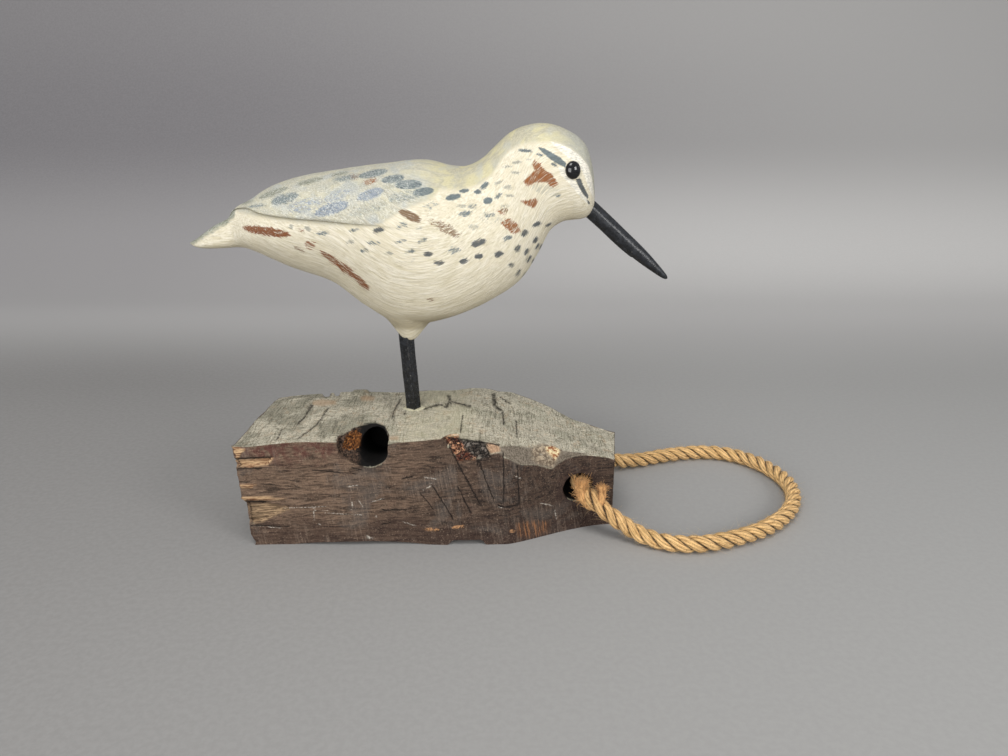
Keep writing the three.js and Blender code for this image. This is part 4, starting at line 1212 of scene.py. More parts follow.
# %% Relief on the timber
# Outlines as they show in the photograph, for the places where the surface changes
BIG_SPLIT = [
    (236, 503.4), (254, 502.6), (268, 503.2), (291.5, 507.8), (275, 516), (262, 522.5), (236, 524.5),
]
SPLINTER = [(230, 460), (250, 459.2), (274.5, 457.6), (267, 465.8), (252, 467.4), (230, 467.4)]
SLIVER = [(234, 496.4), (250, 496.6), (270, 497.2), (286, 498.2), (268, 499.8), (250, 500.2), (234, 500.0)]
SHORT_SLIVER = [(228, 485.2), (256, 485.0), (252, 487.6), (228, 487.6)]
LEFT_CHIP = [(226, 447.5), (238, 447.0), (246, 449.5), (241, 453.5), (239, 458.6), (226, 458.8)]
CRUMBLE = [
    (443.6, 436.7), (458.4, 436.7), (464, 443.5), (464.6, 450.9), (477.5, 455.8), (477, 458.6),
    (457.2, 461.2), (453, 451.5), (448.6, 444.7),
]
WHITE_CHIP = [(442.4, 434.4), (450, 432.8), (459.4, 434.4), (458, 437), (446, 437.2)]
GREY_CHIPS = [
    (459.5, 439.4), (464.6, 440.4), (483.1, 441), (485.6, 445.4), (486.5, 449), (489.8, 453), (489, 457),
    (482, 459), (475, 456), (468.3, 451.8),
]
TAN_FACET = [(486, 443.2), (490, 442.9), (499.1, 446), (500.4, 451.5), (490.5, 453.6), (487.4, 449.7)]
GREY_FACET = [
    (499.2, 446.8), (513.9, 445.4), (528.7, 447.8), (560, 448), (572, 450.6), (590, 454), (572, 457),
    (562, 461), (552, 468), (537, 464.8), (521.3, 464.5), (513.9, 462), (504, 456), (500.2, 454.5),
]
KNOT = [
    (532.4, 447.2), (541, 443.5), (552, 444), (559.6, 447.8), (559.6, 455.8), (553.4, 467), (537.4, 463.8),
    (531.2, 458.3),
]
KNOT_HEART = [
    (545, 447.0), (552, 446.4), (560, 448.4), (559, 454), (555, 460), (550.5, 455.2), (546.5, 451),
]

timber_normals = normals_of(timber)
timber_pixels = seen_at(timber_places)
front_facing = soft_step(-timber_normals[:, 1], 0.1, 0.5)


def within(pixels, outline, soft=1.2):
    """1 inside an outline, 0 outside it, over a soft edge of so many pixels."""
    return soft_step(outline_distance(pixels, outline), soft, -soft)


def within_any(pixels, outlines, soft=1.2):
    """1 inside any of the outlines."""
    return np.maximum.reduce([within(pixels, outline, soft) for outline in outlines])


def grain(places, fine, seed):
    """Soft random ridges that run along the timber."""
    return cloudy(places / (np.array((18.0, fine, fine)) * MM), 1.0, seed)


crumbly = within_any(timber_pixels, (CRUMBLE, GREY_CHIPS), 2) * front_facing
knotty = within(timber_pixels, KNOT, 2.5) * front_facing
big = within(timber_pixels, BIG_SPLIT) * front_facing
upper = within(timber_pixels, SPLINTER) * front_facing
thin = within_any(timber_pixels, (SLIVER, SHORT_SLIVER)) * front_facing
lumps = 0.28 * cloudy(timber_places, 26 * MM, 1) + 0.18 * cloudy(timber_places, 8 * MM, 2)
lumps = lumps + 0.2 * grain(timber_places, 1.6, 3) + 0.08 * cloudy(timber_places, 2.0 * MM, 9) - 0.35
lumps = lumps + crumbly * (1.5 * cloudy(timber_places, 2.4 * MM, 4) - 1.0)
lumps = lumps + knotty * (0.7 * cloudy(timber_places, 2.2 * MM, 5) - 0.2)
lumps = lumps - big * (2.0 + 1.0 * grain(timber_places, 1.7, 6))
lumps = lumps - upper * (1.5 + 0.9 * grain(timber_places, 1.5, 7)) + thin * 0.5
flat_foot = soft_step(timber_places[:, 2], 0.2 * MM, 2.5 * MM)
timber_places = timber_places + (lumps * flat_foot)[:, None] * MM * timber_normals
ragged_end = soft_step(-timber_normals[:, 0], 0.3, 0.9) * flat_foot
end_fibres = cloudy(timber_places / (np.array((9, 9, 1.7)) * MM), 1.0, 8)
timber_places[:, 0] += ragged_end * (1.1 + 1.1 * end_fibres) * MM

# %% The timber's worn edges
# The front's lower edge rises a little in a long shallow arch, and the left lower corner is rounded off
x, y, z = (timber_places / MM).T
arch = 2.2 * np.sin(math.pi * np.clip((x + 76) / 74, 0, 1)) ** 0.8 * (1 - soft_step(y, -39, -12))
z = z + arch * (1 - soft_step(z, 0, 12))
x = x + 0.35 * np.maximum(4 - (x + 101 + z), 0)
x = x - 1.7 * soft_step(x, -60, -100)
x = x + 1.4 * soft_step(x, 70, 100)

# The rear edge of the top sags at its left corner, has a splinter standing up and two notches
STANDING_SPLINTER = [(353, 396), (354, 389), (368, 388), (369, 394)]
REAR_NOTCH = [(322, 388), (331, 388), (330, 396.5), (325, 397)]
SMALL_NOTCH = [(334.5, 388), (340, 388), (339.5, 395), (335, 395.5)]
REAR_RISE = [(498, 0), (512, 1.7), (530, 2.6), (552, 1.7), (566, 0), (574, -0.6), (590, 0.7), (606, 0)]
high = soft_step(z, 40, 50)
rear = soft_step(y, 30, 39)
splinter_up = within(timber_pixels, STANDING_SPLINTER, 1.0)
notches = np.maximum(within(timber_pixels, REAR_NOTCH, 1.0), within(timber_pixels, SMALL_NOTCH, 0.8))
z = z + high * (1.3 * splinter_up - 2.4 * notches * rear - 1.6 * rear * soft_step(x, -60, -100))
rear_edge = np.interp(timber_pixels[:, 0], [490, 613], [388, 437])
rear_rise = np.interp(timber_pixels[:, 0], *np.transpose(REAR_RISE))
z = z + high * rear_rise * soft_step(timber_pixels[:, 1] - rear_edge, 14, 1)
move_to(timber, together(x, y, np.maximum(z, 0)) * MM)

# %% The holes
PEG_BORE = 18.0
PEG_DEPTH = 54
PEG_MOUTH = np.array((-0.15 * BLOCK_LENGTH, -0.5 * BLOCK_DEPTH, BLOCK_HEIGHT - 0.29 * PEG_BORE))
PEG_SLOPE = math.radians(-12)
PEG_WAY = np.array((0, math.cos(PEG_SLOPE), math.sin(PEG_SLOPE)))
ROPE_BORE = 17.5
ROPE_AXIS = np.array((0.398 * BLOCK_LENGTH, 0, 0.411 * BLOCK_HEIGHT))


def bore_grid(start, way, diameter, length, rough, seed, rows=60, sides=72):
    """A round rod from a start along a way, its radius made uneven by soft random values, in metres."""
    side = unit(np.cross(way, (1, 0, 0)))
    off = ring_ways(all_round(sides)[None, :], side, np.cross(way, side))
    middle = start + np.linspace(0, length, rows)[:, None, None] * way
    uneven = 1 + rough * cloudy(middle + off * diameter / 2, 3.0, seed)
    return (middle + diameter / 2 * uneven[..., None] * off) * MM


# The broken mouth of the peg hole, as level outlines: at each height, how far it reaches right and left at
# the front, and how far its back has drawn in
MOUTH_HEIGHTS = [46.9, 47.7, 49.3, 51.0, 52.9, 54.5, 57.0, 60.0, 62.5, 72.0]
MOUTH_RIGHT = [-31.5, -28.6, -25.9, -24.7, -23.8, -23.0, -22.2, -21.7, -21.5, -21.5]
MOUTH_LEFT = [-33.0, -37.5, -41.8, -43.8, -46.0, -48.4, -49.0, -49.3, -49.2, -49.2]
MOUTH_BACK = [16.0, 14.0, 11.0, 9.0, 7.5, 6.0, 4.0, 1.5, 0.0, 0.0]
RIM_RIGHT = np.array([[0, -50], [0, -38], [-0.3, -31.5], [-2.3, -23.5], [-4.9, -17], [-9.2, -13.6]])
RIM_LEFT = np.array([
    [13.8, -13.6], [9.3, -16.4], [5.2, -22.9], [2.3, -28.6], [-0.4, -32.6], [0, -38], [0, -50],
])


def mouth_grid():
    """Level rings, one above the other. Each is the rim's outline with its right part moved to the reach on
    the right, its left part to the reach on the left, and its back drawn in. The left part is torn."""
    z = np.linspace(MOUTH_HEIGHTS[0], MOUTH_HEIGHTS[-1], 90)[:, None]
    reaches = (MOUTH_RIGHT, MOUTH_LEFT, MOUTH_BACK)
    right, left, back = (np.interp(z, MOUTH_HEIGHTS, reach) for reach in reaches)
    width = (right - left) / (MOUTH_RIGHT[-1] - MOUTH_LEFT[-1])
    x = np.concatenate((right + RIM_RIGHT[None, :, 0] * width, left + RIM_LEFT[None, :, 0] * width), axis=1)
    y = np.concatenate((RIM_RIGHT[:, 1], RIM_LEFT[:, 1]))[None, :] + 0 * z
    y = np.where(y > -40, np.maximum(y - back * soft_step(y, -40, -14), -40), y)
    ring = together(x, y)
    corners = ring.shape[1]
    at = np.linspace(0, corners, 130, endpoint=False)
    i = at.astype(int)
    ring = ring[:, i] + (at - i)[None, :, None] * (ring[:, (i + 1) % corners] - ring[:, i])
    grid = np.concatenate((ring, np.broadcast_to(z[..., None], ring.shape[:2] + (1,))), axis=-1)
    torn_side = soft_step(grid[..., 0], -35, -41) * (grid[..., 1] > -41)
    fibres = together(*(cloudy(grid / np.array((1, 1, 2.2)), 1.3, 33 + k) for k in range(2)))
    lumps = together(*(cloudy(grid, 3.0, 36 + k) for k in range(2)))
    grid[..., :2] += (0.25 + 0.9 * torn_side)[..., None] * (0.6 * fibres + 0.6 * lumps)
    return grid * MM


def cut(piece, grid, name):
    """Cuts a closed skin out of a piece with a Boolean modifier, and applies the modifier."""
    cutter = add_skin(name, grid)
    modifier = piece.modifiers.new(name, "BOOLEAN")
    modifier.operation = "DIFFERENCE"
    modifier.solver = "MANIFOLD"
    modifier.object = cutter
    evaluated = piece.evaluated_get(bpy.context.evaluated_depsgraph_get())
    before = piece.data
    piece.data = bpy.data.meshes.new_from_object(evaluated)
    piece.modifiers.clear()
    bpy.data.meshes.remove(before)
    bpy.data.objects.remove(cutter)


peg_start = PEG_MOUTH - PEG_BORE * PEG_WAY
cut(timber, bore_grid(peg_start, PEG_WAY, PEG_BORE, PEG_DEPTH + PEG_BORE, 0.02, 30), "peg_bore")
cut(timber, mouth_grid(), "peg_mouth")
through = np.array((0, 1.0, 0))
rope_start = ROPE_AXIS - BLOCK_DEPTH * through
cut(timber, bore_grid(rope_start, through, ROPE_BORE, 2 * BLOCK_DEPTH, 0.05, 35, rows=120), "rope_bore")
timber.data.validate()
timber.data.materials.clear()
timber.data.shade_smooth()
timber.data.set_sharp_from_angle(angle=math.radians(38))
print("the timber has", len(timber.data.polygons), "faces after the holes are cut")

# %% Where the timber's colours lie
# The lower limit of the grey, weathered skin as it shows on the front
GREY_LINE = np.array([
    [225, 446.5], [286, 442.5], [336, 441.2], [386, 445], [415, 440], [442, 436], [446, 437], [464, 444],
    [477, 460], [489.7, 454.6], [498.8, 453], [504.6, 453.8], [513, 461.3], [521, 464.6], [537.8, 465.4],
    [552, 468.7], [556.8, 464], [561.7, 461.3], [565.5, 458.6], [572.5, 456.7], [588.8, 454.5],
    [602.3, 456], [613, 459], [620, 460],
])

# Outlines of the peg hole's mouth, of the torn wood in it, of rubbed patches on the top, and of saw marks
MOUTH_SEEN = [
    (340, 434.5), (348, 431.5), (355, 426.5), (366, 423), (377, 422.8), (385, 426), (387.6, 433),
    (388.3, 441), (387.6, 449), (385.5, 457), (381.5, 463), (375, 466.4), (367.5, 467.6), (360, 466),
    (351.5, 462), (346.5, 457), (341.5, 454), (337, 447.5), (336.4, 441), (337.5, 436),
]
TORN_PART = [
    (345, 437), (350, 431.5), (357, 429), (361.5, 434), (361, 446), (355, 449.5), (347, 450), (342, 448),
]
TAN_PATCHES = [
    [(313, 401), (322, 399.5), (336, 400.5), (336, 404.5), (322, 406), (313, 405)],
    [(360, 397), (367, 395.5), (375, 397), (374, 400.5), (362, 401)],
    [(388.5, 440), (390, 436.5), (398, 436), (399, 440)],
]
KERF_PATCH = [(517, 524), (533, 521), (549, 521), (549, 531), (532, 538), (519, 536)]

cut_places = places_of(timber)
cut_facing = normals_of(timber)
cut_pixels = seen_at(cut_places)
cut_x, cut_y, cut_z = (cut_places / MM).T
faces_front = (cut_facing[:, 1] < -0.35) & (cut_y < 0)
grey_rise = np.interp(cut_pixels[:, 0], *GREY_LINE.T) - cut_pixels[:, 1]
peg_rim = (np.abs(cut_pixels[:, 0] - 350) < 14) & (grey_rise < -1) & (grey_rise > -30) & (cut_y < -20)
level = (cut_facing[:, 2] > 0.62) & ~peg_rim
keep(timber, "grey_rise", np.where(level, 20.0, np.where(faces_front, grey_rise, -20.0)))

# Inside the holes: how deep a point lies under the faces, and how near it is to either hole
top_z = curve_value(TOP_PROFILE, cut_x / BLOCK_LENGTH) * BLOCK_HEIGHT
front_y = front_curve(cut_x / BLOCK_LENGTH) * BLOCK_DEPTH
depth_in = np.minimum(np.minimum(cut_y - front_y, top_z - cut_z), 40 - cut_y)
near_peg = (np.abs(cut_x + 34) < 18) & (cut_y < 25) & (cut_z > 30)
rope_off = np.hypot(cut_x - ROPE_AXIS[0], cut_z - ROPE_AXIS[2])
near_hole = near_peg | (rope_off < ROPE_BORE / 2 * 1.06)
in_mouth = within(cut_pixels, MOUTH_SEEN, 0.8) * soft_step(depth_in, 0.1, 0.5) * near_peg
keep(timber, "hollow", np.maximum(in_mouth, soft_step(depth_in, 2.2, 3.0) * near_hole))
keep(timber, "torn", within(cut_pixels, TORN_PART, 2.5) * near_peg)
crust_edge = cut_pixels[:, 0] + 3 * cloudy(cut_places, 2 * MM, 40)
keep(timber, "crust", soft_step(crust_edge, 362, 354) * near_peg)
keep(timber, "from_rope", rope_off)

# Patches of the front and of the top, each with how soft its edge is in pixels
shown_front = soft_step(-cut_facing[:, 1], 0.1, 0.5) * (cut_y < 0)
for name, outlines, soft in (
    ("big_split", [BIG_SPLIT], 0.8), ("splinter", [SPLINTER], 0.7), ("crumble", [CRUMBLE], 1.4),
    ("grey_chips", [GREY_CHIPS], 1.4), ("knot", [KNOT], 2.5), ("knot_heart", [KNOT_HEART], 1.4),
    ("tan_facet", [TAN_FACET], 1.0), ("grey_facet", [GREY_FACET], 1.2), ("kerf_patch", [KERF_PATCH], 3.0),
    ("sliver", [SLIVER, SHORT_SLIVER, LEFT_CHIP, WHITE_CHIP], 0.7),
):
    keep(timber, name, within_any(cut_pixels, outlines, soft) * shown_front)
keep(timber, "top_tan", within_any(cut_pixels, TAN_PATCHES, 1.5) * (cut_facing[:, 2] > 0.3))

# %% Cracks and scratches
# From pixel to pixel, with half a width in pixels: dark cracks of the front, among them two painted shadow
# lines, dark cracks of the top, and pale scratches
FRONT_CRACKS_AND_SHADOW_LINES = [
    (448.6, 444.7, 464, 475, 0.8), (464, 475, 475, 495, 0.9), (475, 495, 480.5, 504.5, 0.7),
    (485, 445.4, 491, 457.7, 0.8), (478, 457.7, 483.7, 474.3, 0.7), (483.7, 474.3, 494.8, 503, 0.6),
    (477.5, 458, 478, 466, 0.6), (503.4, 452, 504, 502, 0.7), (517.6, 464.5, 519.2, 504.5, 0.7),
    (458, 487, 471, 513.5, 0.7), (432.7, 486, 453.8, 520, 0.7), (421, 494, 434, 510, 0.5),
    (497.5, 505.2, 505.4, 507.5, 0.8), (505.4, 507.5, 520, 504.9, 0.8), (243, 500.9, 266, 501.8, 1.1),
    (249, 525.2, 290, 526.5, 0.7), (237, 459, 272, 457, 0.7), (232, 468.6, 262, 468.4, 1.0),
    (382, 510, 407, 509.6, 0.7), (381, 524, 391, 523, 0.7), (402, 479, 413, 476.5, 1.0),
    # The strokes from (459.7, 439.2) to (500, 445.2) run under the grey chips' overhang: painted shadow
    (312, 470, 356, 474, 0.5), (262, 484, 300, 487, 0.4), (459.7, 439.2, 489, 443.3, 0.9),
    (489, 443.3, 500, 445.2, 0.8), (352, 468, 362, 470, 0.6),
]
TOP_CRACKS = [
    (312, 404.3, 308.7, 410.3, 1.8), (308.7, 410.3, 304.7, 417, 0.7), (304.7, 417, 296.7, 425.5, 0.6),
    (328.7, 407.7, 316.7, 425, 0.6), (316.7, 425, 296.7, 439.7, 0.5), (283.3, 428.3, 276.7, 439.7, 0.6),
    (400.7, 398.3, 394, 412.3, 0.6), (394, 411, 391.7, 419, 1.1), (403.4, 411.6, 405, 414.4, 1.2),
    (448.5, 394.6, 449.9, 401.2, 1.5), (449.9, 401.2, 445.9, 408, 1.3), (449.9, 401.2, 471, 406.5, 1.1),
    (423, 409, 440, 404.5, 0.8), (440, 404.5, 446, 407, 0.7), (493.5, 393.2, 494.8, 406.5, 2.0),
    (494.8, 406.5, 502.2, 410.4, 1.4), (502.2, 410.4, 504, 425, 0.8), (516, 420, 517.5, 441, 0.6),
    (463, 414.4, 460.4, 433, 0.5), (500, 397, 510, 404, 0.6),
]
PALE_SCRATCHES = [
    (313.8, 511, 314.4, 520, 0.8), (352, 501, 352.4, 507, 0.8), (358.7, 500, 363.5, 507.5, 0.6),
    (324, 512.8, 362.6, 515, 0.5), (554.9, 509.6, 556.2, 519, 0.7), (540, 503, 553, 505.7, 0.6),
    (366, 536.5, 373, 538.5, 1.3), (424, 477, 437, 479, 0.8), (423, 490, 431, 486, 0.7),
    (375.5, 516, 377, 517, 1.0), (318.5, 524, 320.5, 525, 1.0), (442.4, 435.2, 459, 434.8, 1.1),
    (347, 487, 358, 485, 0.6), (372, 502, 384, 498, 0.6), (402, 521.5, 416, 526, 0.5),
    (283, 508, 326, 506.5, 0.4), (515, 476, 521, 478.5, 0.8), (497, 506.6, 506, 509, 0.6),
    (253, 525.6, 282, 528, 0.4),
]

# Worn spots: across, down, length, height, slope
WORN_SPOTS = [
    (431, 529.5, 17, 3.4, 2), (458.5, 527.0, 13, 3.6, -8), (248, 542, 16, 2.0, 8), (512, 531, 6, 3, 0),
]


def nearest_stroke(pixels, strokes):
    """For the nearest straight stroke: the signed distance across its line, the distance beyond its nearer
    end, negative between the ends, the plain distance to it, and its half width."""
    best = np.full((len(pixels), 4), 1e3)
    for x0, y0, x1, y1, width in strokes:
        length = math.hypot(x1 - x0, y1 - y0)
        way = np.array((x1 - x0, y1 - y0)) / length
        off = pixels - (x0, y0)
        across = off @ np.array((-way[1], way[0]))
        beyond = np.abs(off @ way - length / 2) - length / 2
        plain = np.hypot(across, np.maximum(beyond, 0))
        row = together(across, beyond, plain, width)
        best = np.where((plain < best[:, 2])[:, None], row, best)
    return best


for name, strokes, side in (
    ("front_cracks_and_shadow_lines", FRONT_CRACKS_AND_SHADOW_LINES, faces_front),
    ("top_cracks", TOP_CRACKS, cut_facing[:, 2] > 0.6),
    ("pale_scratches", PALE_SCRATCHES, faces_front),
):
    nearest = nearest_stroke(cut_pixels, strokes)
    nearest[~side, 1:3] += 100
    keep(timber, name, nearest[:, :3])
    keep(timber, name + "_width", nearest[:, 3])
keep(timber, "worn_spots", nearest_mark(cut_pixels, WORN_SPOTS)[0] + 100 * ~faces_front)

# %% [markdown]
# The timber's finish is read from two things: its place, for grain and saw marks that run through the whole
# piece, and the numbers kept with its points, for what belongs to this one piece. Where a point lies within
# a crack's width of its line, the shader darkens the wood and sinks it, and noise makes the line wander.

# %% The timber's finish
wood = Finish("old_timber", roughness=0.85, Specular_IOR_Level=0.3)
place = wood.place()
leaning = wood.turned(place, 0.05)
long_grain = wood.noise(leaning, (13.0, 1.7, 1.7), 5, 0.68, 1.3)
fine_grain = wood.noise(leaning, (5.5, 0.6, 0.6), 4, 0.7, 0.9)
patches = wood.noise(place, 24.0, 4, 0.6, 0.8)
small_patches = wood.noise(place, (5.0, 8.0, 5.0), 4, 0.65, 0.5)
saw = wood.noise(wood.turned(place, 0.16), (0.9, 60.0, 12.0), 3, 0.6, 0.3)
cross_marks = wood.noise(place, (0.9, 13.0, 13.0), 4, 0.65, 0.9)
grit = wood.noise(place, 0.85, 4, 0.7)
east, north, up = wood.parts(place)

# The side: grey-brown at the left, nearly black-brown at the right, reddish high up at the left
red_high = wood.times(wood.fade(up, 46.0, 56.0), wood.fade(east, -42.0, -60.0))
side_right = wood.two_tone(long_grain, 0.34, 0.64, "211814", "524136")
side_colour = wood.coats(
    wood.two_tone(long_grain, 0.3, 0.68, "2f231b", "866e5b"),
    (side_right, wood.shaken(east, patches, 90.0), -75.0, 60.0, 1),
    ("5a312b", wood.times(red_high, wood.fade(small_patches, 0.4, 0.6, 0, 0.75))),
    ("4a2f27", small_patches, 0.55, 0.72, 0.35),
    ("5f5a55", patches, 0.5, 0.66, 0.4),
    # darker towards the bottom of the side
    ("35241f", wood.shaken(up, patches, 40.0), 22.0, 4.0, 0.62),
    ("8d7a6a", wood.times(wood.fade(saw, 0.48, 0.66), wood.fade(patches, 0.42, 0.58, 0.05, 0.32))),
    ("1a120e", fine_grain, 0.54, 0.7, 0.52),
    ("a08a76", grit, 0.56, 0.7, 0.6),
    ("1d1512", grit, 0.44, 0.3, 0.5),
)

# The top: grey with a green cast, streaked across by the saw and along by the grain, tan where it is rubbed
in_middle = wood.times(wood.fade(east, -25.0, -5.0), wood.fade(east, 30.0, 10.0))
top_colour = wood.coats(
    wood.two_tone(fine_grain, 0.3, 0.68, "857d6a", "ebe3cd"),
    ("a19f8a", patches, 0.46, 0.62, 0.6),
    ("bca385", small_patches, 0.53, 0.68, 0.6),
    ("6a6554", small_patches, 0.44, 0.32, 0.6),
    ("6a6554", wood.times(wood.fade(cross_marks, 0.5, 0.62), wood.fade(patches, 0.35, 0.6, 0.35, 0.9))),
    ("ded8c4", cross_marks, 0.42, 0.3, 0.5),
    ("5c5748", long_grain, 0.56, 0.72, 0.6),
    ("cfc4ab", long_grain, 0.42, 0.3, 0.5),
    ("e6dfcc", grit, 0.53, 0.66, 0.75),
    ("47422f", grit, 0.47, 0.33, 0.85),
    ("6f6a5c", wood.times(wood.fade(east, -20.0, -55.0), wood.fade(patches, 0.46, 0.58, 0, 0.36))),
    ("cdc6a8", wood.times(in_middle, wood.fade(patches, 0.35, 0.55, 0.15, 0.5))),
    ("bd9d7c", wood.times(wood.field("top_tan"), 0.6)),
    # darker where the grey skin turns to face the front
    ("6d6757", wood.facing()[1], -0.35, -0.8, 0.5),
)
rise = wood.shaken(wood.field("grey_rise"), small_patches, 4.5)
# Darker round the rope's hole on the side: partly the wood's own darker colour there, partly painted shade
near_rope_dark_and_shade = wood.fade(wood.field("from_rope"), 17.0, 8.0, 0, 0.4)
timber_colour = wood.coats(
    wood.blend(wood.fade(rise, -0.7, 0.7), side_colour, top_colour),
    ("33211e", wood.times(near_rope_dark_and_shade, wood.fade(rise, 1.0, -1.0))),
)

# %% Split, torn and crumbled wood
fresh_fibres = wood.noise(leaning, (11.0, 0.9, 0.7), 4, 0.7, 0.6)
torn_fibres = wood.noise(place, (1.0, 2.2, 0.9), 4, 0.75, 0.8)
crumbs = wood.noise(place, 2.0, 3, 0.7, 0.4)
pushed = wood.node("VectorMath", {0: place, 1: wood.times(crumbs, 5.0)}, operation="ADD").outputs[0]
gap, lump = wood.chunks(wood.stretched(pushed, (1.3, 1.0, 0.8)), 2.1)
lump_edge = wood.fade(wood.shaken(gap, grit, 0.3), 0.02, 0.16)
crumb_colour = wood.coats(
    wood.two_tone(lump, 0.3, 0.5, "5b3022", "9c5f40"),
    ("cf9c78", lump, 0.55, 0.7, 1),
    ("e0c6ae", grit, 0.56, 0.7, 0.6),
)
chip_colour = wood.coats(wood.two_tone(lump, 0.3, 0.6, "463d36", "7a7168"), ("a19a8e", grit, 0.56, 0.7, 0.6))
# The torn fibres' palest streaks are partly painted highlight
torn_colour = wood.coats(
    wood.two_tone(torn_fibres, 0.42, 0.58, "1d0f08", "8f5627"), ("d39c5c", torn_fibres, 0.56, 0.68, 0.9))
crust_colour = wood.coats(
    wood.two_tone(torn_fibres, 0.42, 0.62, "120c09", "6b5344"), ("a28c78", grit, 0.56, 0.68, 0.6))
# Deep in both holes the wood is painted near black, for char and for painted shade, under the crust and torn
# wood
hole_char_and_shade_colour = wood.coats(
    wood.blend(wood.field("crust"), "0b0807", crust_colour),
    (torn_colour, wood.shaken(wood.field("torn"), crumbs, 2.2), 0.35, 0.8, 1),
)
bright_place = wood.math("MAXIMUM", wood.field("splinter"), wood.field("sliver"))
timber_colour = wood.coats(
    timber_colour,
    (wood.two_tone(grit, 0.35, 0.65, "5a5146", "8b8071"), wood.field("grey_facet")),
    (wood.two_tone(grit, 0.35, 0.65, "8f735a", "c4a183"), wood.field("tan_facet")),
    (wood.two_tone(fresh_fibres, 0.38, 0.64, "4f3e2e", "bd9f7c"), wood.field("big_split")),
    (wood.two_tone(fresh_fibres, 0.38, 0.64, "70452a", "e6c296"), bright_place),
    # The gaps between crumbs and between chips are painted near black as shade
    (wood.blend(lump_edge, "150b08", crumb_colour), wood.field("crumble")),
    (wood.blend(lump_edge, "1a1512", chip_colour), wood.field("grey_chips")),
    (wood.two_tone(crumbs, 0.4, 0.66, "685848", "c0ae94"), wood.times(wood.field("knot"), 0.8)),
    (wood.two_tone(crumbs, 0.4, 0.6, "8f4f2a", "e5d2a6"), wood.field("knot_heart")),
    (hole_char_and_shade_colour, wood.field("hollow")),
)

# %% Cracks, scratches and worn spots
crack_bend = wood.noise(place, 2.2, 4, 0.7)


def stroke_cover(name, bend=2.2, spread=1.0):
    """1 on the nearest stroke's line and 0 beyond its width: the kept distance across the line, bent by
    noise, against the kept width times the spread, and only between the line's ends and near to it."""
    across, beyond, plain = wood.parts(wood.field(name, "Vector"))
    off_line = wood.math("ABSOLUTE", wood.shaken(across, crack_bend, bend * 2))
    width = wood.times(wood.field(name + "_width"), wood.fade(grit, 0.25, 0.6, 0.45 * spread, 1.5 * spread))
    line = wood.fade(wood.math("DIVIDE", off_line, width), 0.95, 0.1)
    ends = wood.times(wood.fade(beyond, 1.0, -1.5), wood.fade(plain, 3.4, 2.2))
    return wood.times(line, ends)


top_lines = wood.times(stroke_cover("top_cracks", 2.8, 0.95), wood.fade(crumbs, 0.38, 0.52, 0.15, 1.0))
cracks = wood.math("MAXIMUM", stroke_cover("front_cracks_and_shadow_lines"), top_lines)
worn = wood.fade(wood.shaken(wood.field("worn_spots"), crumbs, 5.0), 0.8, -1.2)
flecks = wood.fade(wood.math("MULTIPLY_ADD", fine_grain, 0.7, grit), 0.78, 0.9)
timber_colour = wood.coats(
    timber_colour,
    # painted shade: a wide soft darkening either side of each top crack
    ("4d4636", wood.times(stroke_cover("top_cracks", 2.8, 3.2), 0.28)),
    ("b98a60", wood.times(worn, flecks)),
    ("94643f", wood.times(wood.field("kerf_patch"), wood.fade(saw, 0.5, 0.6, 0.1, 0.75))),
    ("cfc8bb", wood.times(stroke_cover("pale_scratches", 1.2), wood.fade(grit, 0.42, 0.6, 0, 0.8))),
    # the cracks are painted dark for their gaps and the shade in them, the two overhang strokes for its
    # shadow
    ("1f1814", wood.times(cracks, wood.fade(grit, 0.3, 0.6, 0.55, 0.9))),
)

# The relief: each pattern's share of it in millimetres
broken = wood.math("MAXIMUM", wood.field("crumble"), wood.field("grey_chips"))
split = wood.math("MAXIMUM", bright_place, wood.field("big_split"))
relief = wood.times(cracks, -1.6)
for pattern, share in ((saw, 0.3), (fine_grain, 0.6), (grit, 0.5), (cross_marks, 0.4),
                       (lump_edge, wood.times(broken, 1.2)), (fresh_fibres, split)):
    relief = wood.math("MULTIPLY_ADD", pattern, share, relief)
wood.wear(Base_Color=timber_colour, Normal=wood.bump(relief, 1.0))
dress(timber, wood, "weathered_timber", "block")

# %% [markdown]
# The object stands on a plain pale sheet that curves up behind it, so that no horizon shows. Three soft
# lamps light it, one overhead, one from the right and a larger one in front, with an even light from all
# round. The sheet's grey is painted lighter and darker in broad soft bands, as painted light and shade for
# the changes of tone that the lamps alone don't give. It isn't part of the object.

# %% The sheet and the lights
def sheet_grid(half_width=2.2, front=-1.4, bend_at=0.55, bend_radius=0.6, rise=1.6):
    """A strip that lies level, turns up through a quarter circle and rises straight."""
    angle = np.linspace(0, math.pi / 2, 24)
    level = np.array([[front, 0], [0, 0]])
    curve = together(bend_at + bend_radius * np.sin(angle), bend_radius * (1 - np.cos(angle)))
    wall = np.array([[bend_at + bend_radius, bend_radius + rise]])
    profile = np.concatenate((level, curve, wall))
    across = np.array([-half_width, half_width])
    return together(across[None, :], profile[:, None, 0], profile[:, None, 1])


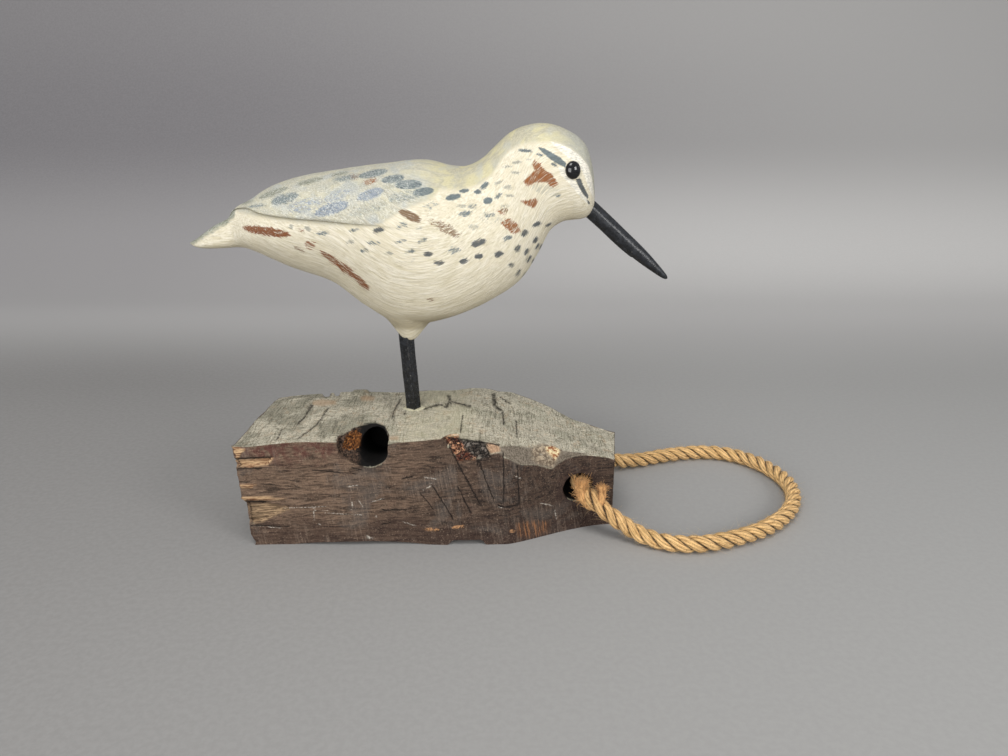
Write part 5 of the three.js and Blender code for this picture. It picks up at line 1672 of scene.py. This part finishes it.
sheet_places = sheet_grid()
index = np.arange(len(sheet_places) - 1)[:, None] * 2
sheet_quads = np.concatenate((index, index + 1, index + 3, index + 2), axis=1)
backdrop = add_piece("backdrop", sheet_places.reshape(-1, 3), sheet_quads, [])
sheet = Finish("pale_sheet", roughness=0.9, Specular_IOR_Level=0.2)
east, north, up = sheet.parts(sheet.place())
# Painted light and shade: the sheet's grey in broad bands across it and up it
pale = sheet.coats(
    sheet.two_tone(east, -320, 320, "8c8a88", "9f9e9c"),
    ("bdbbb9", north, 220, 520, 1),
    (sheet.two_tone(east, -500, 450, "aaa7a7", "d4d2cf"), north, 380, 760, 1),
    (sheet.two_tone(east, -550, 900, "868385", "aeacaa"), up, 10, 190, 1),
    (sheet.two_tone(east, -700, 700, "8f8c8d", "aeacaa"), up, 220, 420, 1),
    ("b8b7b5", sheet.noise(sheet.place(), 3.0, 4, 0.6), 0.3, 0.7, 0.12),
)
sheet.wear(Base_Color=pale)
backdrop.data.materials.append(sheet.material)


def softbox(name, place, aim, size, power, colour):
    """A square area light at a place, turned to face a point."""
    lamp = bpy.data.lights.new(name, "AREA")
    lamp.shape = "SQUARE"
    lamp.size = size
    lamp.energy = power
    lamp.color = colour
    light = bpy.data.objects.new(name, lamp)
    light.location = place
    way = unit(np.array(place) - np.array(aim))
    light.rotation_euler = (math.acos(way[2]), 0, math.atan2(way[0], -way[1]))
    bpy.context.collection.objects.link(light)


softbox("soft_overhead", (-0.12, -0.5, 1.2), (0.0, 0.0, 0.08), 0.5, 5.8, (1.0, 0.99, 0.975))
softbox("soft_right", (0.95, -0.85, 0.62), (0.05, 0.0, 0.1), 0.45, 6.0, (1.0, 0.99, 0.98))
softbox("soft_front", (-0.5, -1.5, 0.3), (0.0, 0.0, 0.1), 1.1, 20.0, (1.0, 0.995, 0.985))
world = bpy.data.worlds.new("even_light")
world.use_nodes = True
even_light = world.node_tree.nodes["Background"]
even_light.inputs["Color"].default_value = (0.95, 0.97, 1.0, 1.0)
even_light.inputs["Strength"].default_value = 0.53
bpy.context.scene.world = world
bpy.context.scene.view_settings.view_transform = "Standard"
